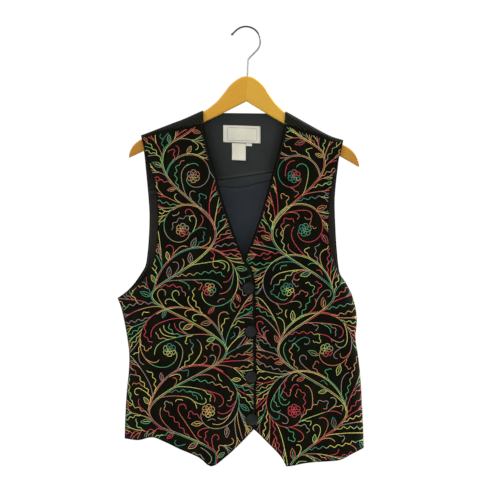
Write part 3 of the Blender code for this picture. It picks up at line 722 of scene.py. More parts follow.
    def finer(self, places: Array) -> Array:
        """Fractional indices between the given places, so that their steps come close to one cell.

        Args:
            places: Places of the rows or columns.

        Returns:
            The indices.
        """
        parts = [[0]]
        for i, gap in enumerate(np.diff(places)):
            count = max(1, round(float(gap) / self.cell))
            parts.append(i + np.arange(1, count + 1) / count)
        return np.concatenate(parts)

    @staticmethod
    def spread(points: Array) -> Array:
        """Places of a grid's rows, by the mean distance from row to row."""
        gaps = np.nanmean(np.linalg.norm(np.diff(points, axis=0), axis=2), axis=1)
        return np.concatenate([[0], np.cumsum(gaps)])

    def smooth_rows(self, points: Array, index: Array, corner: int, edges: Array) -> Array:
        """A grid with finer rows. The outer columns keep their corner at the underarm.

        Args:
            points: The grid.
            index: Fractional rows asked for.
            corner: The row of the corner.
            edges: For each column, how much of the corner it keeps.

        Returns:
            The finer grid.
        """
        places = self.spread(points)
        at = np.interp(index, np.arange(len(places)), places)
        soft = spline(points, places, at)
        above = spline(points[: corner + 1], places[: corner + 1], at[index <= corner])
        below = spline(points[corner:], places[corner:], at[index > corner])
        return mixed(soft, np.concatenate([above, below]), edges[None, :, None])

    def smooth_columns(self, points: Array, index: Array) -> Array:
        """A grid with finer columns, at the fractional ones asked for.

        Args:
            points: The grid.
            index: Fractional indices asked for.

        Returns:
            The finer grid.
        """
        places = self.spread(points.transpose(1, 0, 2))
        at = np.interp(index, np.arange(len(places)), places)
        return spline(points.transpose(1, 0, 2), places, at).transpose(1, 0, 2)

    def front(self, half: Half) -> Surface:
        """One front as a smooth, creased surface with a sharp hem point.

        Args:
            half: The half of the vest.

        Returns:
            The surface.
        """
        coarse = self.front_grid(half)
        columns = np.arange(coarse.shape[1])
        edges = eased((columns - self.flat_steps) / self.turn_steps)
        rows = self.finer(self.spread(coarse))
        across = self.finer(self.spread(coarse.transpose(1, 0, 2)))
        corner = self.shoulder_steps + 1 + UNDERARM_LEVEL
        points = self.smooth_columns(self.smooth_rows(coarse, rows, corner, edges), across)
        points = self.with_hem(points, rows, half.hem, len(coarse) - 1)
        surface = Surface(points, rows, across)
        fade = eased((self.flat_steps + self.turn_steps - across) / self.edge_fade)[None, :]
        fade = fade * eased((rows - self.shoulder_steps - 1) / 2)[:, None]
        relief = crease_relief(FRONT_CREASES, points[..., 0], points[..., 2])
        return surface.raised(relief * fade)

    def with_hem(self, points: Array, rows: Array, hem: Rows, last: int) -> Array:
        """The grid with its last rows brought onto the hem's own line, and a column on its point.

        Args:
            points: The grid.
            rows: Fractional rows of the grid.
            hem: The hem's table.
            last: The pattern's last row.

        Returns:
            The grid.
        """
        tip_x = min(hem, key=lambda row: row[1])[0]
        j = int(np.argmin(np.abs(points[-1, :, 0] - tip_x)))
        weight = eased((rows - last + self.hem_rows) / self.hem_rows)[:, None]
        reach = np.exp(-((np.arange(points.shape[1]) - j) ** 2) / 8)[None, :]
        points = points.copy()
        points[..., 0] += weight * reach * (tip_x - points[-1, j, 0])
        points[..., 2] += weight * (along(hem, points[-1, :, 0]) - points[-1, :, 2])[None, :]
        return points

    def back(self, fronts: tuple[Array, Array]) -> Surface:
        """The back as a smooth, creased surface.

        Args:
            fronts: The grids of both fronts.

        Returns:
            The surface.
        """
        coarse = self.back_grid(fronts)
        count = coarse.shape[1]
        zone = self.zone
        from_edge = np.minimum(np.arange(count), np.arange(count)[::-1])
        edges = eased((self.turn_steps - from_edge) / self.turn_steps)
        rows = self.finer(self.spread(coarse))
        across = self.finer(self.spread(coarse[self.over_steps :].transpose(1, 0, 2)))
        corner = self.over_steps + len(self.behind_crest) + UNDERARM_LEVEL
        fine = np.full((len(rows), count, 3), np.nan)
        for band in (slice(0, zone), slice(-zone, None)):
            fine[:, band] = self.smooth_rows(coarse[:, band], rows, corner, edges[band])
        base = rows >= self.over_steps
        middle = slice(zone, count - zone)
        lower = coarse[self.over_steps :, middle]
        index = rows[base] - self.over_steps
        fine[base, middle] = self.smooth_rows(lower, index, corner - self.over_steps, edges[middle])
        points = np.full((len(rows), len(across), 3), np.nan)
        points[base] = self.smooth_columns(fine[base], across)
        left = across <= zone - 1
        right = across >= count - zone
        points[np.ix_(~base, left)] = self.smooth_columns(fine[~base, :zone], across[left])
        index = across[right] - (count - zone)
        points[np.ix_(~base, right)] = self.smooth_columns(fine[~base, -zone:], index)
        surface = Surface(points, rows, across)
        x, z = points[..., 0], points[..., 2]
        fade = eased(np.minimum(across, count - 1 - across) / self.edge_fade)[None, :]
        fade = fade * eased((rows - self.over_steps - 2) / 2)[:, None]
        relief = -np.nan_to_num(crease_relief(BACK_CREASES, x, z)) * fade
        surface.normals = np.nan_to_num(surface.normals)
        return surface.raised(relief)


class NodeTree:
    """Adds and joins the nodes of one tree."""

    def __init__(self, tree: bpy.types.NodeTree) -> None:
        """Takes the tree."""
        self.tree = tree

    def feed(self, socket: Socket, value: object) -> None:
        """Joins another node's output to a socket, or sets the socket's own value.

        Args:
            socket: The input socket.
            value: An output or a plain value.
        """
        if isinstance(value, Socket):
            self.tree.links.new(value, socket)
        else:
            socket.default_value = value

    def add(self, kind: str, inputs: dict | None = None, **settings: object) -> bpy.types.Node:
        """Adds a node.

        Args:
            kind: Blender's name of the node.
            inputs: Values or outputs for its input sockets.
            **settings: Its other settings.

        Returns:
            The node.
        """
        node = self.tree.nodes.new(kind)
        for key, value in settings.items():
            setattr(node, key, value)
        for key, value in (inputs or {}).items():
            self.feed(node.inputs[key], value)
        return node


class NodeBoard(NodeTree):
    """The nodes of one material."""

    def __init__(self, name: str) -> None:
        """Starts a material with its shader.

        Args:
            name: The material's name.
        """
        self.material = bpy.data.materials.new(name)
        self.material.use_nodes = True
        super().__init__(self.material.node_tree)
        self.shader = self.tree.nodes["Principled BSDF"]
        self.place = self.add("ShaderNodeTexCoord").outputs["Object"]

    def noise(self, size: float, detail: float = 3, stretch: tuple = (1, 1, 1)) -> Socket:
        """Noise whose grains are about as large as size, in millimetres, stretched along the axes.

        Args:
            size: Size of the grains.
            detail: How many finer octaves it has.
            stretch: How much longer the grains are along each axis.

        Returns:
            The noise, from 0 to 1.
        """
        scale = tuple(1 / (size * MM * share) for share in stretch)
        mapped = self.add("ShaderNodeMapping", {"Vector": self.place, "Scale": scale})
        made = self.add("ShaderNodeTexNoise", {"Vector": mapped.outputs[0], "Scale": 1, "Detail": detail})
        return made.outputs["Fac"]

    def ribs(self, period: float, direction: str, waver: float = 0) -> Socket:
        """Straight ribs, their period in millimetres.

        Args:
            period: Distance from rib to rib.
            direction: The axis that they cross.
            waver: How much they waver.

        Returns:
            The ribs, from 0 to 1.
        """
        scale = 2 * math.pi / (20 * period * MM)
        made = self.add(
            "ShaderNodeTexWave",
            {"Vector": self.place, "Scale": scale, "Distortion": waver, "Detail": 1},
            bands_direction=direction,
        )
        return made.outputs["Fac"]

    def math(self, operation: str, first: object, second: object) -> Socket:
        """The result of one sum on two values."""
        return self.add("ShaderNodeMath", {0: first, 1: second}, operation=operation).outputs[0]

    def plus(self, first: object, second: object, share: float) -> Socket:
        """The first value plus a share of the second one."""
        return self.math("ADD", first, self.math("MULTIPLY", second, share))

    def axis(self, name: str) -> Socket:
        """One coordinate of the place."""
        return self.add("ShaderNodeSeparateXYZ", {"Vector": self.place}).outputs[name]

    def from_mesh(self, attribute: str) -> Socket:
        """A colour that comes with the mesh."""
        return self.add("ShaderNodeAttribute", attribute_name=attribute).outputs["Color"]

    def toned(self, colour: object, shade: Socket) -> Socket:
        """A colour made darker or lighter by a number."""
        tone = self.add("ShaderNodeCombineColor", {"Red": shade, "Green": shade, "Blue": shade}).outputs[0]
        return self.blend(1, colour, tone, "MULTIPLY")

    def ramp(self, value: object, low: float, high: float, first: float, last: float) -> Socket:
        """A value moved from the range low to high onto first to last."""
        inputs = {"Value": value, "From Min": low, "From Max": high, "To Min": first, "To Max": last}
        return self.add("ShaderNodeMapRange", inputs).outputs["Result"]

    def blend(self, share: object, first: object, second: object, kind: str = "MIX") -> Socket:
        """A mix of two colours.

        Args:
            share: How much of the second one.
            first: A colour or an output.
            second: A colour or an output.
            kind: Blender's name of the way to mix.

        Returns:
            The mixed colour.
        """
        node = self.add("ShaderNodeMix", data_type="RGBA", blend_type=kind)
        colours = [c if isinstance(c, Socket) else (*c, 1) for c in (first, second)]
        sockets = [s for s in node.inputs if s.type == "RGBA"]
        self.feed(next(s for s in node.inputs if s.name == "Factor" and s.type == "VALUE"), share)
        self.feed(sockets[0], colours[0])
        self.feed(sockets[1], colours[1])
        return next(s for s in node.outputs if s.type == "RGBA")

    def bump(self, height: object, depth_mm: float, strength: float = 1) -> None:
        """Gives the shader a relief of this depth."""
        inputs = {"Height": height, "Distance": depth_mm * MM, "Strength": strength}
        self.feed(self.shader.inputs["Normal"], self.add("ShaderNodeBump", inputs).outputs[0])

    def finish(self, colour: object, roughness: object, **uniform: float) -> Finish:
        """Sets the shader's colour, roughness and the values that are the same all over.

        Args:
            colour: A colour or a node's output.
            roughness: A number or a node's output.
            **uniform: Other sockets by name, with _ for a space.

        Returns:
            The material.
        """
        self.feed(self.shader.inputs["Base Color"], colour)
        self.feed(self.shader.inputs["Roughness"], roughness)
        for name, value in uniform.items():
            self.shader.inputs[name.replace("_", " ")].default_value = value
        return self.material


@dataclass(frozen=True)
class Suede:
    """Napped black suede, brushed lighter and darker in soft patches."""

    dark: Colour = (0.0011, 0.0011, 0.0005)
    light: Colour = (0.0052, 0.0050, 0.0024)
    nap: float = 0.7
    patch: float = 26

    def make(self) -> Finish:
        """Builds the material.

        Returns:
            The material.
        """
        board = NodeBoard("black suede")
        nap = board.noise(self.nap, 4, (1, 1, 1.6))
        patches = board.noise(self.patch, 4, (0.8, 1, 1.5))
        share = board.plus(board.ramp(patches, 0.3, 0.7, -0.1, 0.6), nap, 0.45)
        colour = board.blend(share, self.dark, self.light)
        board.bump(board.plus(nap, patches, 0.6), 0.35, 0.8)
        roughness = board.ramp(patches, 0.3, 0.7, 0.86, 1)
        return board.finish(
            colour, roughness, Sheen_Weight=0.028, Sheen_Roughness=0.45, Specular_IOR_Level=0.03
        )


@dataclass(frozen=True)
class Twill:
    """Woven cloth with fine slanting ribs."""

    name: str
    dark: Colour
    light: Colour
    rib: float = 1.5
    direction: str = "DIAGONAL"
    sheen: float = 0.05
    roughness: float = 0.78
    specular: float = 0.15
    relief: float = 0.22

    def make(self) -> Finish:
        """Builds the material.

        Returns:
            The material.
        """
        board = NodeBoard(self.name)
        ribs = board.ribs(self.rib, self.direction, 0.6)
        slubs = board.noise(1.4, 3, (1, 1, 6))
        wear = board.noise(42, 3)
        share = board.plus(board.ramp(slubs, 0.25, 0.75, -0.1, 0.3), ribs, 0.7)
        colour = board.blend(share, self.dark, self.light)
        colour = board.toned(colour, board.ramp(wear, 0.3, 0.7, 0.88, 1.12))
        board.bump(board.plus(ribs, slubs, 0.5), self.relief, 0.8)
        roughness = board.ramp(slubs, 0.2, 0.8, self.roughness - 0.08, self.roughness + 0.08)
        return board.finish(
            colour, roughness, Sheen_Weight=self.sheen, Sheen_Roughness=0.4, Specular_IOR_Level=self.specular
        )


@dataclass(frozen=True)
class LiningCloth:
    """Smooth lining with a fine weft and a soft sheen. Its mesh brings a colour multiplier that holds painted
    shade and painted highlights.
    """

    name: str
    dark: Colour
    light: Colour
    roughness: float = 0.5
    specular: float = 0.18

    def make(self) -> Finish:
        """Builds the material.

        Returns:
            The material.
        """
        board = NodeBoard(self.name)
        weft = board.noise(0.5, 2, (14, 1, 1))
        warp = board.noise(0.5, 2, (1, 1, 14))
        cloud = board.noise(22, 4, (1.6, 1, 0.8))
        share = board.plus(board.ramp(cloud, 0.25, 0.75, -0.1, 0.6), weft, 0.5)
        colour = board.blend(share, self.dark, self.light)
        # Multiplies in the painted shade and painted highlights kept with the mesh.
        colour = board.blend(1, colour, board.from_mesh("shade"), "MULTIPLY")
        board.bump(board.plus(board.math("ADD", weft, warp), cloud, 18), 0.06, 0.7)
        roughness = board.ramp(cloud, 0.3, 0.7, self.roughness - 0.05, self.roughness + 0.07)
        return board.finish(
            colour, roughness, Sheen_Weight=0.06, Sheen_Roughness=0.35, Specular_IOR_Level=self.specular
        )


@dataclass(frozen=True)
class Yarn:
    """Embroidery yarn, dyed along its length. Its colour comes with the mesh."""

    name: str = "dyed yarn"
    attribute: str = "yarn"

    def make(self) -> Finish:
        """Builds the material.

        Returns:
            The material.
        """
        board = NodeBoard(self.name)
        fibre = board.noise(0.35, 3)
        colour = board.toned(board.from_mesh(self.attribute), board.ramp(fibre, 0.25, 0.75, 0.72, 1.15))
        board.bump(fibre, 0.15, 0.7)
        roughness = board.ramp(fibre, 0.2, 0.8, 0.55, 0.72)
        return board.finish(
            colour, roughness, Sheen_Weight=0.05, Sheen_Roughness=0.4, Specular_IOR_Level=0.15
        )


@dataclass(frozen=True)
class Lacquered:
    """Honey wood under a clear lacquer, its grain along the arm, deeper in colour towards the tip."""

    name: str
    dark: Colour
    light: Colour
    grain_degrees: float
    tip: Colour = (0.33, 0.140, 0.006)

    def make(self) -> Finish:
        """Builds the material.

        Returns:
            The material.
        """
        board = NodeBoard(self.name)
        reach = board.math("ABSOLUTE", board.math("SUBTRACT", board.axis("X"), AXIS_X * MM), 0)
        turn = (0, math.radians(self.grain_degrees), 0)
        turned = board.add("ShaderNodeMapping", {"Vector": board.place, "Rotation": turn})
        board.place = turned.outputs[0]
        streaks = board.noise(3, 5, (24, 1, 1))
        pores = board.noise(0.5, 2, (18, 1, 1))
        cloud = board.noise(60, 2, (2, 1, 1))
        share = board.plus(board.ramp(streaks, 0.3, 0.7, 0.15, 0.6), cloud, 0.4)
        colour = board.blend(share, self.dark, self.light)
        colour = board.blend(board.ramp(pores, 0.60, 0.78, 0, 0.3), colour, tuple(c * 0.6 for c in self.dark))
        colour = board.blend(board.ramp(reach, 0.10, 0.19, 0, 1), colour, self.tip)
        board.bump(board.math("ADD", streaks, pores), 0.06, 0.5)
        roughness = board.ramp(streaks, 0.3, 0.7, 0.36, 0.46)
        return board.finish(colour, roughness, Coat_Weight=0.12, Coat_Roughness=0.2, Specular_IOR_Level=0.25)


@dataclass(frozen=True)
class DrawnWire:
    """Bright steel wire with fine drawing marks, painted darker towards its top and lighter lower down:
    painted shade in place of its reflections.
    """

    dark: Colour = (0.060, 0.063, 0.055)
    light: Colour = (0.31, 0.31, 0.295)

    def make(self) -> Finish:
        """Builds the material.

        Returns:
            The material.
        """
        board = NodeBoard("drawn wire")
        marks = board.noise(3, 3)
        cloud = board.noise(16, 2)
        # Painted shade: the wire's colour darker towards its top, lighter lower down.
        height = board.plus(board.axis("Z"), cloud, 0.012)
        colour = board.blend(board.ramp(height, -0.045, 0.004, 1, 0), self.dark, self.light)
        return board.finish(colour, board.ramp(marks, 0.2, 0.8, 0.34, 0.46), Metallic=1)


@dataclass(frozen=True)
class PaleFloor:
    """A plain pale floor with a barely seen mottle."""

    dark: Colour = (0.74, 0.74, 0.73)
    light: Colour = (0.80, 0.80, 0.79)

    def make(self) -> Finish:
        """Builds the material.

        Returns:
            The material.
        """
        board = NodeBoard("pale floor")
        mottle = board.noise(120, 3)
        colour = board.blend(mottle, self.dark, self.light)
        return board.finish(colour, board.ramp(mottle, 0.3, 0.7, 0.6, 0.75))


@dataclass
class Workshop:
    """Makes Blender objects, and puts each on its body."""

    body: str = "root"

    def rides(self, made: Piece, finish: Finish | None, slot: str = "") -> Piece:
        """Puts an object in the scene, dressed and on its body.

        Args:
            made: The object.
            finish: Its material.
            slot: The record's material slot, where it has one. Not used.

        Returns:
            The same object.
        """
        bpy.context.scene.collection.objects.link(made)
        if finish is not None:
            made.data.materials.append(finish)
        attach(made, self.body)
        log.info("made %s", made.name)
        return made

    def cloth(
        self, name: str, surface: Surface, wall: float, finish: Finish, slot: str, shade: Array | None = None
    ) -> Piece:
        """A cloth piece: a grid of points on its middle surface, thickened to a wall.

        Args:
            name: The piece's name.
            surface: Its middle surface, NaN where there is no cloth.
            wall: Its thickness.
            finish: Its material.
            slot: The record's material slot.
            shade: What the finish's colour is multiplied by at each point, where it brings that: painted
                shade and painted light.

        Returns:
            The piece.
        """
        grid = surface.points
        rows, columns = grid.shape[:2]
        present = ~np.isnan(grid[..., 0])
        numbers = np.full((rows, columns), -1)
        numbers[present] = np.arange(present.sum())
        corners = [numbers[:-1, :-1], numbers[1:, :-1], numbers[1:, 1:], numbers[:-1, 1:]]
        corners = np.stack(corners, axis=-1).reshape(-1, 4)
        faces = corners[corners.min(axis=1) >= 0]
        mesh = bpy.data.meshes.new(name)
        mesh.from_pydata((grid[present] * MM).tolist(), [], faces.tolist())
        mesh.update()
        mesh.shade_smooth()
        if shade is not None:
            self.paint(mesh, "shade", shade[present])
        made = bpy.data.objects.new(name, mesh)
        maker = made.modifiers.new("wall", "SOLIDIFY")
        maker.thickness = wall * MM
        maker.offset = 0
        maker.use_even_offset = True
        return self.rides(made, finish, slot)

    @staticmethod
    def paint(mesh: bpy.types.Mesh, attribute: str, colours: Array) -> None:
        """Keeps a colour with each point of a mesh.

        Args:
            mesh: The mesh.
            attribute: The name under which it keeps them.
            colours: A colour for each point.
        """
        layer = mesh.color_attributes.new(attribute, "FLOAT_COLOR", "POINT")
        opaque = np.hstack([colours, np.ones((len(colours), 1))])
        layer.data.foreach_set("color", opaque.astype(np.float32).ravel())

    def solid(
        self, name: str, shape: bmesh.types.BMesh, finish: Finish, slot: str, sharp: float = 50
    ) -> Piece:
        """A piece from a finished bmesh, smooth up to the sharp angle in degrees.

        Args:
            name: The piece's name.
            shape: The shape, which is used up.
            finish: The material.
            slot: The record's material slot.
            sharp: The least angle of an edge that stays sharp.

        Returns:
            The piece.
        """
        bmesh.ops.recalc_face_normals(shape, faces=shape.faces)
        mesh = bpy.data.meshes.new(name)
        shape.to_mesh(mesh)
        shape.free()
        mesh.shade_smooth()
        mesh.set_sharp_from_angle(angle=math.radians(sharp))
        return self.rides(bpy.data.objects.new(name, mesh), finish, slot)


@dataclass
class Stitching:
    """Lines of thread that lie on a surface, gathered into one mesh of half round cords."""

    width: float = 2
    height: float = 0.9
    link: float = 2.6
    sink: float = 0.12
    profile: tuple[tuple[float, float], ...] = ((-0.5, 0), (-0.36, 0.62), (0, 1), (0.36, 0.62), (0.5, 0))
    verts: list = field(default_factory=list)
    faces: list = field(default_factory=list)
    colours: list = field(default_factory=list)
    count: int = 0

    def line(self, points: Array, normals: Array, colours: Array | Colour, pulse: float = 0.16) -> None:
        """Lays one thread.

        Args:
            points: Its path on the surface.
            normals: The surface's normals along it.
            colours: Its colour, or one for each point.
            pulse: How much each link swells.
        """
        tangent = unit(np.gradient(points, axis=0))
        across = unit(np.cross(normals, tangent))
        run = run_of(points)
        swell = 1 + pulse * np.cos(2 * np.pi * run / self.link)
        ends = np.clip(np.minimum(run, run[-1] - run) / (0.5 * self.width) + 0.35, 0, 1)
        width = self.width * swell * ends
        height = self.height * (0.5 + 0.5 * swell) * ends
        lines = [
            points + across * (width * side)[:, None] + normals * (height * up - self.sink)[:, None]
            for side, up in self.profile
        ]
        ring = np.stack(lines, axis=1)
        k = len(self.profile)
        numbers = self.count + np.arange(len(points) * k).reshape(-1, k)
        quads = np.stack([numbers[:-1, :-1], numbers[:-1, 1:], numbers[1:, 1:], numbers[1:, :-1]], axis=-1)
        self.verts.append(ring.reshape(-1, 3))
        self.faces.append(quads.reshape(-1, 4))
        self.colours.append(np.repeat(np.broadcast_to(colours, points.shape), k, axis=0))
        self.count += len(points) * k

    def piece(
        self, shop: Workshop, name: str, finish: Finish, slot: str = "", attribute: str = "yarn"
    ) -> Piece:
        """Builds the gathered threads.

        Args:
            shop: What makes the object.
            name: The piece's name.
            finish: Its material.
            slot: The record's material slot, where it has one.
            attribute: The name under which the mesh keeps its colours.

        Returns:
            The piece.
        """
        mesh = bpy.data.meshes.new(name)
        mesh.from_pydata((np.concatenate(self.verts) * MM).tolist(), [], np.concatenate(self.faces).tolist())
        mesh.update()
        mesh.shade_smooth()
        shop.paint(mesh, attribute, np.concatenate(self.colours))
        return shop.rides(bpy.data.objects.new(name, mesh), finish, slot)


class Dye(Enum):
    """The colours that run along the yarn, one into the next, and how often each comes."""

    RED = (0.43, 0.046, 0.060, 4)
    CORAL = (0.42, 0.125, 0.072, 4)
    AMBER = (0.46, 0.26, 0.100, 4)
    YELLOW = (0.52, 0.45, 0.12, 3)
    LIME = (0.34, 0.45, 0.12, 4)
    GREEN = (0.075, 0.28, 0.12, 3)
    TEAL = (0.045, 0.19, 0.13, 2)
    MAUVE = (0.24, 0.17, 0.16, 3)
    OLIVE = (0.26, 0.25, 0.14, 2)


@dataclass
class FlatMap:
    """A front laid flat: every point of its surface has a place on the flat cut, and the other way round."""

    surface: Surface
    sign: int
    turn_column: int
    shoulder_row: int
    seed_rows: int = 8
    seed_columns: int = 5
    rounds: int = 9
    flat: Array = field(init=False)

    def __post_init__(self) -> None:
        """Lays the surface flat, along its turned side and over its shoulder."""
        points = self.surface.points
        i = int(np.searchsorted(self.surface.row_index, self.shoulder_row))
        j = int(np.searchsorted(self.surface.column_index, self.turn_column))
        u = points[..., 0].copy()
        v = points[..., 2].copy()
        u[:, j + 1 :] = u[:, j : j + 1] + self.sign * np.cumsum(self.steps(points[:, j:], 1), axis=1)
        rise = self.steps(points[: i + 1], 0)
        v[:i] = v[i] + np.cumsum(rise[::-1], axis=0)[::-1]
        self.flat = np.stack([u, v], axis=-1)

    @staticmethod
    def steps(points: Array, axis: int) -> Array:
        """Distances between neighbours along an axis."""
        return np.linalg.norm(np.diff(points, axis=axis), axis=-1)

    def outline(self) -> Array:
        """The flat cut's edge, closed."""
        grid = self.flat
        return np.concatenate([grid[:, 0], grid[-1, 1:], grid[-2::-1, -1], grid[0, -2:0:-1]])

    def locate(self, places: Array) -> tuple[Array, Array]:
        """Finds places of the flat cut on the surface.

        Args:
            places: Places on the flat cut.

        Returns:
            Fractional rows and columns of the surface's own grid.
        """
        seeds = self.flat[:: self.seed_rows, :: self.seed_columns]
        flat = seeds.reshape(-1, 2)
        parts = np.array_split(places, 40)
        nearest = np.concatenate([np.argmin(((part[:, None] - flat) ** 2).sum(-1), axis=1) for part in parts])
        rows = (nearest // seeds.shape[1] * self.seed_rows).astype(float)
        columns = (nearest % seeds.shape[1] * self.seed_columns).astype(float)
        down, across = np.gradient(self.flat, axis=0), np.gradient(self.flat, axis=1)
        for _ in range(self.rounds):
            miss = places - sampled(self.flat, rows, columns)
            a, b = sampled(down, rows, columns), sampled(across, rows, columns)
            size = a[:, 0] * b[:, 1] - a[:, 1] * b[:, 0]
            size = np.where(np.abs(size) < 1e-6, 1e-6, size)
            rows = rows + np.clip((miss[:, 0] * b[:, 1] - miss[:, 1] * b[:, 0]) / size, -12, 12)
            columns = columns + np.clip((a[:, 0] * miss[:, 1] - a[:, 1] * miss[:, 0]) / size, -8, 8)
            rows = np.clip(rows, 0, self.flat.shape[0] - 1)
            columns = np.clip(columns, 0, self.flat.shape[1] - 1)
        return rows, columns

    def on_surface(self, places: Array, lift: float) -> tuple[Array, Array]:
        """Points and normals of the surface at places of the flat cut.

        Args:
            places: Places on the flat cut.
            lift: How far the points lie in front of the surface.

        Returns:
            The points and the normals.
        """
        rows, columns = self.locate(places)
        normals = unit(sampled(self.surface.normals, rows, columns))
        return sampled(self.surface.points, rows, columns) + normals * lift, normals


@dataclass
class Ground:
    """The part of a front that may take yarn, in cells of 1 mm on its flat cut, and what lies on it."""

    outline: Array
    border: float = 3
    low: Array = field(init=False)
    inside: Array = field(init=False)
    halo: Array = field(init=False)
    core: Array = field(init=False)

    def __post_init__(self) -> None:
        """Fills the outline with cells."""
        self.low = np.floor(self.outline.min(axis=0) - self.border)
        size = np.ceil(self.outline.max(axis=0) + self.border - self.low).astype(int)
        self.inside = np.zeros((size[1], size[0]), bool)
        ends = np.roll(self.outline, -1, axis=0)
        middles = self.low[0] + np.arange(size[0]) + 0.5
        for i in range(size[1]):
            height = self.low[1] + i + 0.5
            hit = (self.outline[:, 1] > height) != (ends[:, 1] > height)
            first, last = self.outline[hit], ends[hit]
            share = (height - first[:, 1]) / (last[:, 1] - first[:, 1])
            crossings = first[:, 0] + share * (last[:, 0] - first[:, 0])
            self.inside[i] = (middles[:, None] > crossings[None, :]).sum(axis=1) % 2 == 1
        self.halo = np.zeros_like(self.inside)
        self.core = np.zeros_like(self.inside)

    def cells(self, places: Array) -> tuple[Array, Array]:
        """Row and column of the cell under each place.

        Args:
            places: Places on the flat cut.

        Returns:
            The rows and the columns.
        """
        cell = np.floor(places - self.low).astype(int)
        return (
            np.clip(cell[..., 1], 0, self.inside.shape[0] - 1),
            np.clip(cell[..., 0], 0, self.inside.shape[1] - 1),
        )

    def stamp(self, cells: Array, places: Array, radius: float, value: bool = True) -> None:
        """Marks the cells within a radius of the places.

        Args:
            cells: The field of cells to mark.
            places: Places on the flat cut.
            radius: How far the mark reaches.
            value: What is written.
        """
        reach = np.arange(-math.ceil(radius), math.ceil(radius) + 1)
        disc = np.array([(x, y) for x in reach for y in reach if math.hypot(x, y) <= radius], float)
        cells[self.cells(places[:, None] + disc[None])] = value

    def spans(self) -> tuple[Array, Array, Array]:
        """Heights of the cell rows, and the least and greatest place across in each.

        Returns:
            The heights, the least and the greatest places.
        """
        rows = np.flatnonzero(self.inside.any(axis=1))
        first = self.inside[rows].argmax(axis=1)
        last = self.inside.shape[1] - 1 - self.inside[rows][:, ::-1].argmax(axis=1)
        return self.low[1] + rows + 0.5, self.low[0] + first, self.low[0] + last + 1


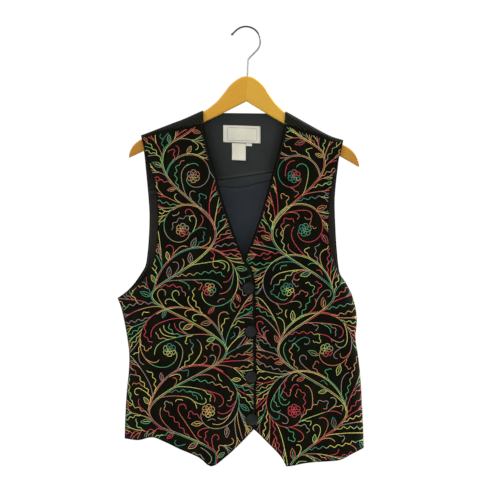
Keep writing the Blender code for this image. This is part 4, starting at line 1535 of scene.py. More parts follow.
@dataclass
class ScrollWork:
    """All the yarn of one front: a waving stem, scrolls that end in blossoms, and shoots in the rest."""

    ground: Ground
    sign: int
    seed: int
    step: float = 1.25
    spacing: float = 5
    upper_room: float = 1.5
    upper_from: float = -430
    upper_rise: float = 130
    blossom_room: float = 3.2
    stem_room: float = 3
    core_radius: float = 1.7
    free_run: float = 18
    curl_run: float = 42
    tightest: float = 0.19
    curls: tuple[float, ...] = (4, 2.6, 1.2)
    wave_length: float = 13.5
    wave_height: float = 1.9
    blossom_heights: tuple[float, ...] = (-672, -566, -460, -356, -262)
    blossom_across: tuple[float, float] = (0.33, 0.66)
    stem_swing: float = 0.29
    blossom_radius: float = 13
    ring_radius: float = 1.9
    petal_degrees: float = 25
    petal_foot: float = 3.6
    petal_length: float = 7.6
    line_offset: float = 1.15
    scroll_offset: float = 1.9
    scroll_sides: tuple[float, float] = (0.045, 0.965)
    leaf_stalk: float = 3
    least_shoot: float = 13
    leave_curve: float = 0.036
    leave_run: float = 12
    leave_angle: float = 0.16
    leaf_pitch: float = 46
    leaf_lengths: tuple[float, ...] = (19, 15)
    main_lengths: tuple[float, ...] = (118, 98, 80, 64, 50, 38)
    second_lengths: tuple[float, ...] = (84, 66, 52, 40, 30)
    third_lengths: tuple[float, ...] = (48, 36, 27)
    pitches: tuple[float, ...] = (9, 7, 6)
    waves: float = 0.9
    curl_tries: int = 1500
    curl_lengths: tuple[float, ...] = (56, 46, 38, 30, 23, 17)
    paths: list = field(default_factory=list)
    parents: list = field(default_factory=list)

    def __post_init__(self) -> None:
        """Starts the seeded draws."""
        self.draw = random.Random(self.seed)
        heights, low, high = self.ground.spans()
        order = (low, high) if self.sign > 0 else (high, low)
        soft = np.ones(41) / 41
        wide = [np.convolve(np.pad(side, 20, mode="edge"), soft, mode="valid") for side in order]
        self.heights, self.inner, self.outer = heights, *wide

    def across(self, height: Values, share: Values) -> Array:
        """Place across at a height, at a share of the way from the front edge to the outer one.

        Args:
            height: Heights on the flat cut.
            share: The share of the way.

        Returns:
            The places.
        """
        inner = np.interp(height, self.heights, self.inner)
        outer = np.interp(height, self.heights, self.outer)
        return mixed(inner, outer, share)

    def keep(self, path: Array, parent: bool = True, spacing: float | None = None) -> None:
        """Lays a path down and marks the room it takes, which is wider towards the shoulder.

        Args:
            path: The path.
            parent: Whether shoots may leave from it.
            spacing: The room it takes, where that differs.
        """
        self.paths.append(path)
        if parent:
            self.parents.append(path)
        height = (path[:, 1].mean() - self.upper_from) / self.upper_rise
        room = self.spacing + self.upper_room * float(eased(height))
        self.ground.stamp(self.ground.halo, path, spacing or room)
        self.ground.stamp(self.ground.core, path, self.core_radius)

    def even(self, path: Array) -> Array:
        """The same path in even steps.

        Args:
            path: The path.

        Returns:
            The path.
        """
        run = run_of(path)
        at = np.linspace(0, run[-1], max(3, round(run[-1] / self.step) + 1))
        return resampled(at, run, path)

    def beside(self, path: Array, offset: float) -> Array:
        """A path beside another one."""
        tangent = unit(np.gradient(path, axis=0))
        return path + np.stack([-tangent[:, 1], tangent[:, 0]], axis=1) * offset

    def clipped(self, path: Array) -> Array:
        """The first stretch of a path that lies on the ground."""
        off = np.flatnonzero(~self.ground.inside[self.ground.cells(path)])
        return path[: off[0]] if len(off) else path

    def longest(self, path: Array) -> Array:
        """The longest stretch of a path that lies on the ground.

        Args:
            path: The path.

        Returns:
            The stretch.
        """
        inside = self.ground.inside[self.ground.cells(path)].astype(int)
        starts = np.flatnonzero(np.diff(np.concatenate([[0], inside])) == 1)
        ends = np.flatnonzero(np.diff(np.concatenate([inside, [0]])) == -1) + 1
        best = int(np.argmax(ends - starts))
        return path[starts[best] : ends[best]]

    def stem(self) -> Array:
        """The main stem's middle line, from the hem up to the shoulder.

        Returns:
            The path.
        """
        pitch = self.blossom_heights[1] - self.blossom_heights[0]
        height = np.linspace(self.heights[0], self.heights[-1], 500)
        swing = self.stem_swing * np.cos(np.pi * (height - self.blossom_heights[0]) / pitch)
        return self.even(np.stack([self.across(height, 0.5 + swing), height], axis=1))

    def scroll(self, stem: Array, centre: Array) -> Array:
        """A spiral that leaves the stem and winds in towards a blossom's centre.

        Args:
            stem: The stem's middle line.
            centre: The blossom's centre.

        Returns:
            The path.
        """
        start = stem[np.argmin(np.abs(stem[:, 1] - centre[1]))]
        radius = abs(start[0] - centre[0])
        side = math.copysign(1, start[0] - centre[0])
        turn = np.linspace(0, 1.9 * np.pi, 200)
        reach = mixed(self.blossom_radius, radius, (1 - turn / turn[-1]) ** 1.15)
        angle = (0 if side > 0 else np.pi) + side * turn
        path = centre + rays(angle) * reach[:, None]
        sides = np.sort([self.across(path[:, 1], share) for share in self.scroll_sides], axis=0)
        path[:, 0] = np.clip(path[:, 0], *sides)
        return self.even(path)

    def blossom(self, centre: Array, turn: float) -> list[Array]:
        """Six pointed petals in one line, and a ring in the middle.

        Args:
            centre: The blossom's centre.
            turn: How far it is turned, in radians.

        Returns:
            The petals' line and the ring.
        """
        t = np.linspace(0, 1, 26)
        petals = []
        for k in range(6):
            angle = turn + math.radians(60 * k) + np.radians(self.petal_degrees) * np.sin(2 * np.pi * t)
            reach = self.petal_foot + self.petal_length * np.sin(np.pi * t) ** 0.8
            petals.append(centre + rays(angle) * reach[:, None])
        ring = centre + rays(np.linspace(0, 2 * np.pi, 14)) * self.ring_radius
        return [self.even(np.concatenate(petals)), ring]

    def shoot(
        self, start: Array, heading: float, side: float, length: float, bend: float, curl: float, wavy: bool
    ) -> Array:
        """A shoot that leaves its parent softly and curls up at its end.

        Args:
            start: Where it starts.
            heading: The parent's direction there.
            side: 1 or -1, the side it leaves to.
            length: Its length.
            bend: How much it bends along its way.
            curl: How far its end winds up, in radians.
            wavy: Whether it ripples.

        Returns:
            Its path.
        """
        run = np.arange(0, length, self.step)
        tail = min(0.7 * length, self.curl_run)
        tight = min(self.tightest, curl / (0.65 * tail))
        curve = self.leave_curve * np.exp(-run / self.leave_run) + bend
        curve += tight * eased((run - length + tail) / (0.7 * tail))
        angle = heading + side * (self.leave_angle + np.cumsum(curve) * self.step)
        path = start + np.cumsum(rays(angle), axis=0) * self.step
        if wavy:
            swing = self.wave_height * np.sin(2 * np.pi * run / self.wave_length)
            swing *= eased(run / 16) * eased((length - run) / 10)
            path += np.stack([-np.sin(angle), np.cos(angle)], axis=1) * swing[:, None]
        return path

    def fits(self, path: Array, least: float) -> Array | None:
        """The path as far as the edge, or nothing where it comes too near to other yarn.

        Args:
            path: The path.
            least: The shortest length worth keeping.

        Returns:
            The path, or None.
        """
        path = self.clipped(path)
        if len(path) * self.step < least:
            return None
        free = int(self.free_run / self.step)
        if self.ground.halo[self.ground.cells(path[free:])].any():
            return None
        near = slice(int(0.55 * free), free)
        return None if self.ground.core[self.ground.cells(path[near])].any() else path

    def grow(self, parents: list, pitch: float, lengths: tuple[float, ...], waves: float) -> None:
        """Lets shoots grow from every parent, the longest that fits at each place, plain and rippled in turn.

        Args:
            parents: The paths they leave from.
            pitch: Distance from one shoot to the next along a parent.
            lengths: Lengths to try, the longest first.
            waves: How many of the shoots whose turn it is do ripple.
        """
        for parent in parents:
            tangents = np.gradient(parent, axis=0)
            stride = max(2, int(pitch / self.step))
            rippled = {1: self.draw.random() < 0.5, -1: self.draw.random() < 0.5}
            for k in range(self.draw.randrange(2, stride + 2), len(parent) - 6, stride):
                heading = math.atan2(tangents[k, 1], tangents[k, 0])
                for side in (1, -1):
                    wavy = rippled[side] and self.draw.random() < waves
                    if self.grow_one(parent[k], heading, side, lengths, wavy):
                        rippled[side] = not rippled[side]

    def fill(self, tries: int, lengths: tuple[float, ...]) -> None:
        """Sets loose curls wherever bare ground is left.

        Args:
            tries: How many places to try for each length.
            lengths: Lengths of the curls, the longest first.
        """
        for length in lengths:
            bare = np.argwhere(self.ground.inside & ~self.ground.halo)
            for number in range(tries):
                row, column = bare[self.draw.randrange(len(bare))]
                start = self.ground.low + np.array([column, row]) + 0.5
                heading = self.draw.uniform(0, 2 * math.pi)
                side = self.draw.choice((1, -1))
                curl = self.draw.choice(self.curls)
                path = self.clipped(self.shoot(start, heading, side, length, 0.004, curl, number % 2 == 1))
                if len(path) * self.step < 0.85 * length:
                    continue
                if not self.ground.halo[self.ground.cells(path)].any():
                    self.keep(path)

    def grow_one(
        self, start: Array, heading: float, side: float, lengths: tuple[float, ...], wavy: bool
    ) -> bool:
        """Keeps the longest shoot that fits at one place, and says whether there is one.

        Args:
            start: Where it starts.
            heading: The parent's direction there.
            side: 1 or -1, the side it leaves to.
            lengths: Lengths to try, the longest first.
            wavy: Whether it ripples.

        Returns:
            Whether a shoot was kept.
        """
        for length in lengths:
            length *= self.draw.uniform(0.92, 1.08)
            for curl in self.curls:
                bend = self.draw.uniform(-0.004, 0.008)
                path = self.fits(self.shoot(start, heading, side, length, bend, curl, wavy), 0.4 * length)
                if path is not None and len(path) * self.step > self.least_shoot:
                    self.keep(path)
                    return True
        return False

    def leaf(self, start: Array, heading: float, length: float) -> list[Array]:
        """A pointed leaf with a rippled rib.

        Args:
            start: Where it starts.
            heading: Its direction.
            length: Its length.

        Returns:
            The outline and the rib.
        """
        t = np.linspace(0, 1, 16)
        width = 0.21 * length * np.sin(np.pi * t**0.85)
        run = self.leaf_stalk + length * t
        sides = [np.stack([run, width], axis=1), np.stack([run, -width], axis=1)[-2::-1]]
        shape = np.concatenate([[[0, 0]], *sides])
        run = self.leaf_stalk + length * np.linspace(0.12, 0.72, 9)
        rib = np.stack([run, 0.5 * np.sin(np.arange(9) * 1.6)], axis=1)
        turn = np.array([[math.cos(heading), math.sin(heading)], [-math.sin(heading), math.cos(heading)]])
        return [self.even(start + shape @ turn), self.even(start + rib @ turn)]

    def add_leaves(self, parents: list, pitch: float, lengths: tuple[float, ...]) -> None:
        """Sets leaves along the parents wherever they fit.

        Args:
            parents: The paths they leave from.
            pitch: Distance from one leaf to the next.
            lengths: Lengths to try, the longest first.
        """
        for parent in parents:
            tangents = np.gradient(parent, axis=0)
            for k in range(8, len(parent) - 4, max(2, int(pitch / self.step))):
                heading = math.atan2(tangents[k, 1], tangents[k, 0])
                for side in (1, -1):
                    for length in lengths:
                        turned = heading + side * self.draw.uniform(0.7, 1)
                        outline, rib = self.leaf(parent[k], turned, length)
                        free = outline[4:-4]
                        if not self.ground.inside[self.ground.cells(free)].all():
                            continue
                        if self.ground.halo[self.ground.cells(free[2:-2])].any():
                            continue
                        self.keep(outline, parent=False)
                        self.paths.append(rib)
                        break

    def work(self) -> list[Array]:
        """Grows the whole design and returns its paths.

        Returns:
            The paths on the flat cut.
        """
        stem = self.stem()
        scrolls = []
        for number, height in enumerate(self.blossom_heights):
            centre = np.array([float(self.across(height, self.blossom_across[number % 2])), height])
            scrolls.append(self.scroll(stem, centre))
            for path in self.blossom(centre, self.draw.uniform(0, 1)):
                self.keep(path, parent=False, spacing=self.blossom_room)
        for offset in (-self.line_offset, self.line_offset):
            self.keep(self.longest(self.beside(stem, offset)), parent=False, spacing=self.stem_room)
        scrolls = [self.longest(path) for path in scrolls]
        for path in scrolls:
            self.keep(path, parent=False)
            self.paths.append(self.beside(path, self.scroll_offset)[: len(path) // 2])
        mains = [self.longest(stem), *scrolls]
        self.add_leaves(mains, self.leaf_pitch, self.leaf_lengths)
        self.grow(mains, self.pitches[0], self.main_lengths, self.waves)
        self.grow(mains + self.parents, self.pitches[1], self.second_lengths, self.waves)
        self.grow(list(self.parents), self.pitches[2], self.third_lengths, self.waves)
        self.fill(self.curl_tries, self.curl_lengths)
        return [path for path in self.paths if len(path) > 5]

    def dyed(self, length: int) -> Array:
        """Colours for one thread that change softly along it.

        Args:
            length: How many points the thread has.

        Returns:
            A colour for each point.
        """
        dyes = [np.array(dye.value[:3]) for dye in Dye for _ in range(dye.value[3])]
        at, rows, place = [0], [self.draw.choice(dyes)], 0
        while place < length * self.step:
            hold = self.draw.uniform(28, 62)
            fresh = self.draw.choice(dyes)
            at += [place + hold, place + hold + 14]
            rows += [rows[-1], fresh]
            place += hold + 14
        return resampled(np.arange(length) * self.step, at, np.array(rows))


@dataclass
class Layers:
    """The walls of the cloth as it shows, and where the layers inside the back lie."""

    suede: float = 1.3
    back: float = 0.9
    lining: float = 0.6
    label: float = 0.5
    pattern_back: float = 1.2
    pattern_lining: float = 1
    pattern_label: float = 1
    layer_gap: float = 0.5
    seam_gap: float = 0.3

    def lining_lift(self) -> float:
        """How far the lining's middle lies in front of the back's."""
        return self.pattern_back / 2 + self.layer_gap + self.pattern_lining / 2

    def label_lift(self) -> float:
        """How far a label's middle lies in front of the facing's."""
        return self.pattern_lining / 2 + self.seam_gap + self.pattern_label / 2


def dashes(points: Array, normals: Array, pitch: float, length: float) -> list[tuple[Array, Array]]:
    """Short stitches along a line.

    Args:
        points: The line.
        normals: The surface's normals along it.
        pitch: Distance from one stitch to the next.
        length: A stitch's length.

    Returns:
        Points and normals of each stitch.
    """
    run = run_of(points)
    made = []
    for start in np.arange(0.5 * pitch, run[-1] - length, pitch):
        at = np.linspace(start, start + length, 4)
        made.append((resampled(at, run, points), resampled(at, run, normals)))
    return made


@dataclass
class EdgeStitching:
    """A line of small stitches that runs beside the edges of a panel."""

    inset: float = 4.5
    pitch: float = 3.2
    length: float = 2.4
    width: float = 0.6
    height: float = 0.35
    colour: Colour = (0.024, 0.024, 0.022)
    threads: Stitching = field(init=False)

    def __post_init__(self) -> None:
        """Starts the thread."""
        self.threads = Stitching(self.width, self.height)

    def beside(self, edge: Array, inner: Array, normals: Array, lift: float) -> None:
        """Stitches beside one edge.

        Args:
            edge: Points of the edge.
            inner: Points one step inside it.
            normals: Normals along the edge.
            lift: How far the outer face lies from the middle surface, with its sign.
        """
        ok = ~np.isnan(edge[:, 0]) & ~np.isnan(inner[:, 0])
        edge, inner, normals = edge[ok], inner[ok], normals[ok]
        points = edge + unit(inner - edge) * self.inset + normals * lift
        outward = normals * math.copysign(1, lift)
        for place, normal in dashes(points, outward, self.pitch, self.length):
            self.threads.line(place, normal, self.colour, pulse=0)


@dataclass
class Fronts:
    """Both suede fronts with their embroidery, buttonholes and edge stitching."""

    pattern: Pattern
    shop: Workshop
    layers: Layers
    left_overlap: float = 16.2
    overlap_top: float = -432
    lap_rise: float = 22
    bare: dict = field(
        default_factory=lambda: {
            "left": ((-150, 6.5), (-250, 4.8), (-400, 3.3), (-720, 3)),
            "right": ((-150, 6), (-250, 4.5), (-400, 3.4), (-720, 3)),
        }
    )
    edge_margin: float = 1.6
    seam_margin: float = 5
    button_room: float = 10.8
    yarn_width: float = 1.1
    yarn_height: float = 0.68
    hole_colour: Colour = (0.012, 0.012, 0.013)
    slit_shadow_colour: Colour = (0.002, 0.002, 0.002)
    flat: dict = field(default_factory=lambda: {"left": (0.247, 0.601), "right": (0.231, 0.599)})
    area: dict = field(default_factory=lambda: {"left": 0.102, "right": 0.098})
    surfaces: dict = field(default_factory=dict)
    maps: dict = field(default_factory=dict)

    def shape(self) -> None:
        """Works out both surfaces and their flat maps."""
        for half in (LEFT, RIGHT):
            surface = self.pattern.front(half)
            self.surfaces[half.name] = surface
            turn, shoulder = self.pattern.flat_steps, self.pattern.shoulder_steps
            self.maps[half.name] = FlatMap(surface, half.sign, turn, shoulder)

    def ground(self, half: Half, buttons: tuple) -> Ground:
        """The part of one front that takes yarn, without its margins, the lap and the buttons' places.

        Args:
            half: The half of the vest.
            buttons: Places of the buttons.

        Returns:
            The ground.
        """
        laid = self.maps[half.name]
        ground = Ground(laid.outline())
        inner = laid.flat[:, 0]
        ground.stamp(ground.inside, ground.outline, self.edge_margin, False)
        ground.stamp(ground.inside, laid.flat[0], self.seam_margin, False)
        for place, margin in zip(inner, along(self.bare[half.name], inner[:, 1])):
            ground.stamp(ground.inside, place[None], float(margin), False)
        if half.sign > 0:
            heights = ground.low[1] + np.arange(ground.inside.shape[0]) + 0.5
            lap = along(LEFT.neck, heights) + self.left_overlap - LEFT.neck[-1][1]
            places = ground.low[0] + np.arange(ground.inside.shape[1]) + 0.5
            under = (places[None, :] < lap[:, None]) & (heights[:, None] < self.overlap_top + self.lap_rise)
            ground.inside[under] = False
        for x, z in buttons:
            ground.stamp(ground.inside, np.array([[x, z]]), self.button_room, False)
        return ground

    def embroider(self, half: Half, buttons: tuple, seed: int, yarn: Finish) -> Piece:
        """Grows the design on one front and lays its yarn.

        Args:
            half: The half of the vest.
            buttons: Places of the buttons.
            seed: Seed of the design's draws.
            yarn: The yarn's material.

        Returns:
            The embroidery.
        """
        work = ScrollWork(self.ground(half, buttons), half.sign, seed)
        paths = work.work()
        ends = np.cumsum([len(path) for path in paths])[:-1]
        points, normals = self.maps[half.name].on_surface(np.concatenate(paths), self.layers.suede / 2)
        yarns = Stitching(self.yarn_width, self.yarn_height)
        metres = 0
        for place, normal in zip(np.split(points, ends), np.split(normals, ends)):
            yarns.line(place, normal, work.dyed(len(place)))
            metres += len(place) * work.step * MM
        log.info("front_%s takes %d threads, %.1f m of yarn", half.name, len(paths), metres)
        return yarns.piece(self.shop, f"embroidery_{half.name}", yarn)

    def edges(self, half: Half, finish: Finish) -> Piece:
        """Stitches beside all edges of one front.

        Args:
            half: The half of the vest.
            finish: The material.

        Returns:
            The stitches.
        """
        surface = self.surfaces[half.name]
        grid, normals = surface.points, surface.normals
        sewing = EdgeStitching()
        lift = self.layers.suede / 2
        sewing.beside(grid[:, 0], grid[:, 2], normals[:, 1], lift)
        sewing.beside(grid[:, -1], grid[:, -4], normals[:, -2], lift)
        sewing.beside(grid[-1], grid[-3], normals[-2], lift)
        return sewing.threads.piece(self.shop, f"edge_stitching_{half.name}", finish, "suede")

    def buttonholes(self, buttons: tuple, finish: Finish) -> Piece:
        """A worked buttonhole behind each button, reaching out from under it.

        Args:
            buttons: Places of the buttons.
            finish: The material.

        Returns:
            The buttonholes.
        """
        threads = Stitching(width=1.5, height=0.6, link=0.9)
        turn = np.linspace(0, 2 * np.pi, 64)
        for x, z in buttons:
            u = x - 6.5 + 9 * np.clip(1.35 * np.cos(turn), -1, 1) + 1.2 * np.cos(turn)
            ring = np.stack([u, z + 1.5 * np.sin(turn)], axis=1)
            # The slit is a near-black cord: a painted shadow in the buttonhole's opening.
            slit = np.stack([np.linspace(x - 15, x + 2, 12), np.full(12, z)], axis=1)
            for path, colour, pulse in ((ring, self.hole_colour, 0.2), (slit, self.slit_shadow_colour, 0)):
                points, normals = self.maps["left"].on_surface(path, self.layers.suede / 2)
                threads.line(points, normals, colour, pulse=pulse)
        return threads.piece(self.shop, "buttonholes", finish, "suede")

    def build(self, buttons: tuple, suede: Finish, yarn: Finish) -> list[Piece]:
        """Builds the fronts and all that is sewn on them.

        Args:
            buttons: Places of the buttons.
            suede: The suede's material.
            yarn: The yarn's material.

        Returns:
            The pieces, fronts first.
        """
        made = []
        extra = {"left": [self.buttonholes(buttons, yarn)], "right": []}
        for half, seed in ((LEFT, 11), (RIGHT, 29)):
            surface = self.surfaces[half.name]
            panel = self.shop.cloth(f"suede_front_{half.name}", surface, self.layers.suede, suede, "suede")
            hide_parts(f"front_{half.name}")
            sewn = [self.embroider(half, buttons, seed, yarn), self.edges(half, yarn)] + extra[half.name]
            size = np.ptp(self.maps[half.name].flat.reshape(-1, 2), axis=0) * MM
            log.info("front_%s lies flat in %.3f by %.3f m, %.4f m2", half.name, *size, surface.area())
            made += [panel, *sewn]
        return made


@dataclass
class BackBody:
    """The cloth back with its inner facing and lining."""

    pattern: Pattern
    shop: Workshop
    layers: Layers
    seam: tuple[tuple[float, float], tuple[float, float]] = ((-44.8, -267.6), (53.6, -253.2))
    tuck_depths: Rows = ((-140, 9), (-53, 11), (-10, 18.5), (27, 15), (54, 12), (140, 9))
    # Rows of drop, stand and shade. The tuck band is darker, partly its own tone and partly painted shade. It
    # is darkest at its foot, a painted shadow under the fold, and the lining just below it gets a painted
    # highlight.
    tuck: Rows = (
        (0, 0, 0.5), (0.04, 0.4, 0.55), (0.12, 1.2, 0.68), (0.35, 1.7, 0.84), (0.65, 1.9, 0.82),
        (0.85, 2.2, 0.7), (0.95, 2.3, 0.58), (0.985, 1.9, 0.35), (1, 0.2, 0.3), (1.06, 0.5, 1.25),
        (1.16, 0.6, 1.3), (1.4, 0.1, 1.05),
    )
    tuck_start: float = 0.15
    tuck_foot: int = 9
    tuck_tint: Colour = (1.06, 1, 0.76)
    middle_x: float = -3
    # Rows of rise above the seam, stand and shade: the facing's turned hem gets a painted highlight.
    hem_of_facing: Rows = ((0, 0, 1), (6, 0, 1), (4.2, 0.5, 1.45), (1.6, 0.7, 1.55), (0.5, 0.5, 1))
    facing_creases: tuple[Crease, ...] = tuple(Crease(*row) for row in (
        (-22, -241, 6, -238, 1.8, 0.7), (-30, -248, -4, -246.5, 1.6, 0.5), (8, -232, 40, -224, 2.6, 0.6),
        (-52, -236, -34, -222, 2.6, 0.6), (30, -212, 52, -196, 3, 0.6), (-66, -206, -48, -186, 3.2, 0.6),
        (60, -236, 92, -246, 4, 0.7), (-78, -252, -108, -240, 4, 0.7),
    ))
    # Painted light: the lining's colour multiplier by height, lighter lower down.
    lining_painted_light: Rows = ((-280, 1), (-310, 1.1), (-345, 1.35), (-400, 1.3), (-700, 1.2))
    side_shade: Rows = ((0, 1), (98, 1), (132, 0.42), (230, 0.42))
    side_tint: Colour = (1.5, 1, 0.5)
    # Painted shadow on the facing, darkest at the fronts' neck edges, by distance inside them.
    rim_painted_shadow: Rows = ((0, 0.3), (5, 0.45), (18, 1), (90, 1))
    ease_end: float = 8
    hem_inset: float = 14
    edge_inset: float = 0.35
    seam_inset: float = 0.75
    fine: float = 0.25
    yoke_rows: int = 27
    ease_rows: int = 12
    plain_step: float = 0.2
    coarse: Array = field(init=False)
    surface: Surface = field(init=False)
    inner: Surface = field(init=False)

    def shape(self) -> None:
        """Works out the back's surface, and the part of it behind the hanger."""
        fronts = tuple(self.pattern.front_grid(half) for half in (LEFT, RIGHT))
        self.coarse = self.pattern.back_grid(fronts)[self.pattern.over_steps :]
        self.surface = self.pattern.back(fronts)
        behind = self.surface.row_index >= self.pattern.over_steps
        rows = self.surface.row_index[behind] - self.pattern.over_steps
        self.inner = Surface(self.surface.points[behind], rows, self.surface.column_index)

    def seam_height(self, x: Array) -> Array:
        """Height of the seam between facing and lining."""
        (x0, z0), (x1, z1) = self.seam
        return z0 + (x - x0) * (z1 - z0) / (x1 - x0)

    def row_at(self, column: float, z: float) -> float:
        """Fractional row at which a column of the back passes a height.

        Args:
            column: The fractional column.
            z: The height.

        Returns:
            The row.
        """
        count = self.coarse.shape[0]
        heights = sampled(self.coarse, np.arange(count, dtype=float), np.full(count, column))[:, 2]
        return float(np.interp(-z, -heights, np.arange(count)))

    def columns(self) -> Array:
        """Fractional columns of a layer that stops short of the back's edges.

        Returns:
            The columns.
        """
        count = self.coarse.shape[1]
        inner = np.arange(2, count - 3 + self.fine, self.fine)
        start = np.linspace(self.edge_inset, 2, 7)[:-1]
        return np.concatenate([start, inner, (count - 1 - start)[::-1]])

    def layer(self, rows: Array, columns: Array, stand: Values = 0) -> Surface:
        """A layer inside the back, at rows and columns of the pattern."""
        points = self.inner.at(rows, columns, self.layers.lining_lift() + stand)
        return Surface(points, np.arange(rows.shape[0], dtype=float), np.arange(rows.shape[1], dtype=float))

    def across(self, columns: Array) -> Array:
        """x of columns of the back near the tuck."""
        return sampled(self.coarse, np.full(columns.shape, 5), columns)[:, 0]

    def rows_at(self, columns: Array, heights: Array) -> Array:
        """Fractional rows at which columns of the back pass their heights."""
        return np.array([self.row_at(column, height) for column, height in zip(columns, heights)])

    def tinted(self, x: Array, shade: Array, tint: Values = 1) -> Array:
        """What a layer's colour is multiplied by at each point: painted shade and light for each row, darker
        towards the armholes.

        Args:
            x: Places across.
            shade: The shade of each row.
            tint: A colour for the rows.

        Returns:
            A colour for each point.
        """
        sides = along(self.side_shade, np.abs(x - self.middle_x))[None, :, None]
        tint = mixed(np.array(self.side_tint), np.ones(3) * tint, eased((sides - 0.42) / 0.58))
        return shade[:, None, None] * sides * tint

    def facing(self) -> tuple[Surface, Array]:
        """The yoke inside the back, from just under the hanger down to the tuck, and its colour multiplier
        with a painted highlight on its hem and painted shadow along the neck edges.

        Returns:
            The surface, and a colour for each of its points.
        """
        count = self.coarse.shape[1]
        columns = self.columns()
        reach = self.pattern.neck_steps
        near = eased((reach / 2 + 0.5 - np.abs(columns - (count - 1) / 2)) / (reach / 4))
        top = mixed(1.15, 0.12, near)
        x = self.across(columns)
        seam = self.seam_height(x)
        above = [self.rows_at(columns, seam + rise) for rise, _, _ in self.hem_of_facing[1:]]
        shares = np.linspace(0, 1, self.yoke_rows + 1)[:-1]
        rows = np.array([mixed(top, above[0], share) for share in shares] + above)
        plain = len(rows) - len(above)
        stand, shade = np.array(self.hem_of_facing)[[0] * plain + list(range(1, len(above) + 1)), 1:].T
        columns = np.broadcast_to(columns, rows.shape)
        flat = self.layer(rows, columns)
        relief = crease_relief(self.facing_creases, flat.points[..., 0], flat.points[..., 2])
        stand = stand[:, None] + np.maximum(relief, 0)
        colours = self.tinted(x, shade)
        places, heights = flat.points[..., 0], flat.points[..., 2]
        inside = np.minimum(places - along(LEFT.neck, heights), along(RIGHT.neck, heights) - places)
        # Painted shadow along the fronts' neck edges.
        colours = colours * along(self.rim_painted_shadow, np.maximum(inside, 0))[..., None]
        return self.layer(rows, columns, stand), colours

    def lining(self) -> tuple[Surface, Array]:
        """The lining: a tuck along its top, then plain cloth to just above the hem, and its colour multiplier
        with painted shade and painted highlights.

        Returns:
            The surface, and a colour for each of its points.
        """
        count = self.coarse.shape[1]
        last = self.coarse.shape[0] - 1
        columns = self.columns()
        x = self.across(columns)
        top = self.seam_height(x) - self.tuck_start
        depth_at = along(self.tuck_depths, x)
        rows = [self.rows_at(columns, top - drop * depth_at) for drop, _, _ in self.tuck]
        start = rows[-1]
        rows += [mixed(start, self.ease_end, share) for share in np.linspace(0, 1, self.ease_rows + 1)[1:]]
        plain = np.arange(self.ease_end + self.plain_step, last - 0.99, self.plain_step)
        rows += [np.full(columns.shape, row) for row in plain]
        hem_z = self.coarse[last, :, 2] + self.hem_inset
        hem = self.rows_at(columns, np.interp(columns, np.arange(count), hem_z))
        lowest = rows[-1]
        rows += [mixed(lowest, hem, share) for share in (0.34, 0.67, 1)]
        rows = np.array(rows)
        folds = len(self.tuck)
        stand = np.zeros(rows.shape)
        stand[:folds] = np.array(self.tuck)[:, 1:2]
        middle = np.full(len(rows), (count - 1) / 2)
        # Painted light, lighter lower down.
        shade = along(self.lining_painted_light, sampled(self.coarse, rows.mean(axis=1), middle)[:, 2])
        # Painted shadow under the tuck's fold, and a painted highlight just below it.
        shade[:folds] = np.array(self.tuck)[:, 2]
        tint = np.ones((len(rows), 1, 3))
        tint[: self.tuck_foot] = self.tuck_tint
        underarm = len(self.pattern.behind_crest) + UNDERARM_LEVEL
        inset = mixed(self.edge_inset, self.seam_inset, eased((rows - underarm + 4) / 3))
        columns = np.broadcast_to(columns, rows.shape)
        from_edge = np.minimum(columns, count - 1 - columns)
        moved = mixed(inset, 2, (from_edge - self.edge_inset) / (2 - self.edge_inset))
        from_edge = np.where(from_edge < 2, moved, from_edge)
        columns = np.where(columns < (count - 1) / 2, from_edge, count - 1 - from_edge)
        return self.layer(rows, columns, stand), self.tinted(x, shade, tint)

    def edges(self, finish: Finish) -> Piece:
        """Stitches beside the hem and the armholes of the back.

        Args:
            finish: The material.

        Returns:
            The stitches.
        """
        grid, normals = self.surface.points, self.surface.normals
        sewing = EdgeStitching(colour=(0.03, 0.031, 0.028))
        lift = -self.layers.back / 2
        sewing.beside(grid[-1], grid[-4], normals[-2], lift)
        index = self.surface.row_index - self.pattern.over_steps
        rows = (index > 1) & (index <= len(self.pattern.behind_crest) + UNDERARM_LEVEL)
        sewing.beside(grid[rows, 0], grid[rows, 3], normals[rows, 1], lift)
        sewing.beside(grid[rows, -1], grid[rows, -4], normals[rows, -2], lift)
        return sewing.threads.piece(self.shop, "edge_stitching_back", finish, "back_cloth")

    def build(self, twill: Finish, facing: Finish, lining: Finish, yarn: Finish) -> Surface:
        """Builds the back, its facing, its lining and its stitching.

        Args:
            twill: The back's material.
            facing: The facing's material.
            lining: The lining's material.
            yarn: The stitches' material.

        Returns:
            The facing's surface, on which the labels lie.
        """
        back = self.shop.cloth("twill_back", self.surface, self.layers.back, twill, "back_cloth")
        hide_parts("back")
        sewn = [self.edges(yarn)]
        log.info("back area %.4f m2", self.surface.area())
        yoke, shade = self.facing()
        inner = self.shop.cloth("yoke_facing", yoke, self.layers.lining, facing, "facing_cloth", shade)
        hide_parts("back_facing")
        log.info("facing area %.4f m2", yoke.area())
        cloth, shade = self.lining()
        low = self.shop.cloth("tucked_lining", cloth, self.layers.lining, lining, "lining_cloth", shade)
        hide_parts("back_lining")
        log.info("lining area %.4f m2", cloth.area())
        return yoke


@dataclass(frozen=True)
class Ribbon:
    """A label on the facing: its sides, its top and bottom at the left, and how far its foot stands out."""

    name: str
    node: str
    left: float
    right: float
    top: float
    bottom: float
    stand: float
    flat: tuple[float, float]
    area: float


RIBBONS = (
    Ribbon("woven_label", "label_main", -41, 24.6, -171.2, -201.3, 0.4, (0.0656, 0.0302), 0.00197),
    Ribbon("care_label", "label_care", -25.5, -1.2, -202.9, -232.9, 2.5, (0.0243, 0.0302), 0.00073),
    Ribbon("size_tab", "label_size", -0.8, 9.7, -203.1, -208, 0.3, (0.0105, 0.0100), 0.0000525),
)


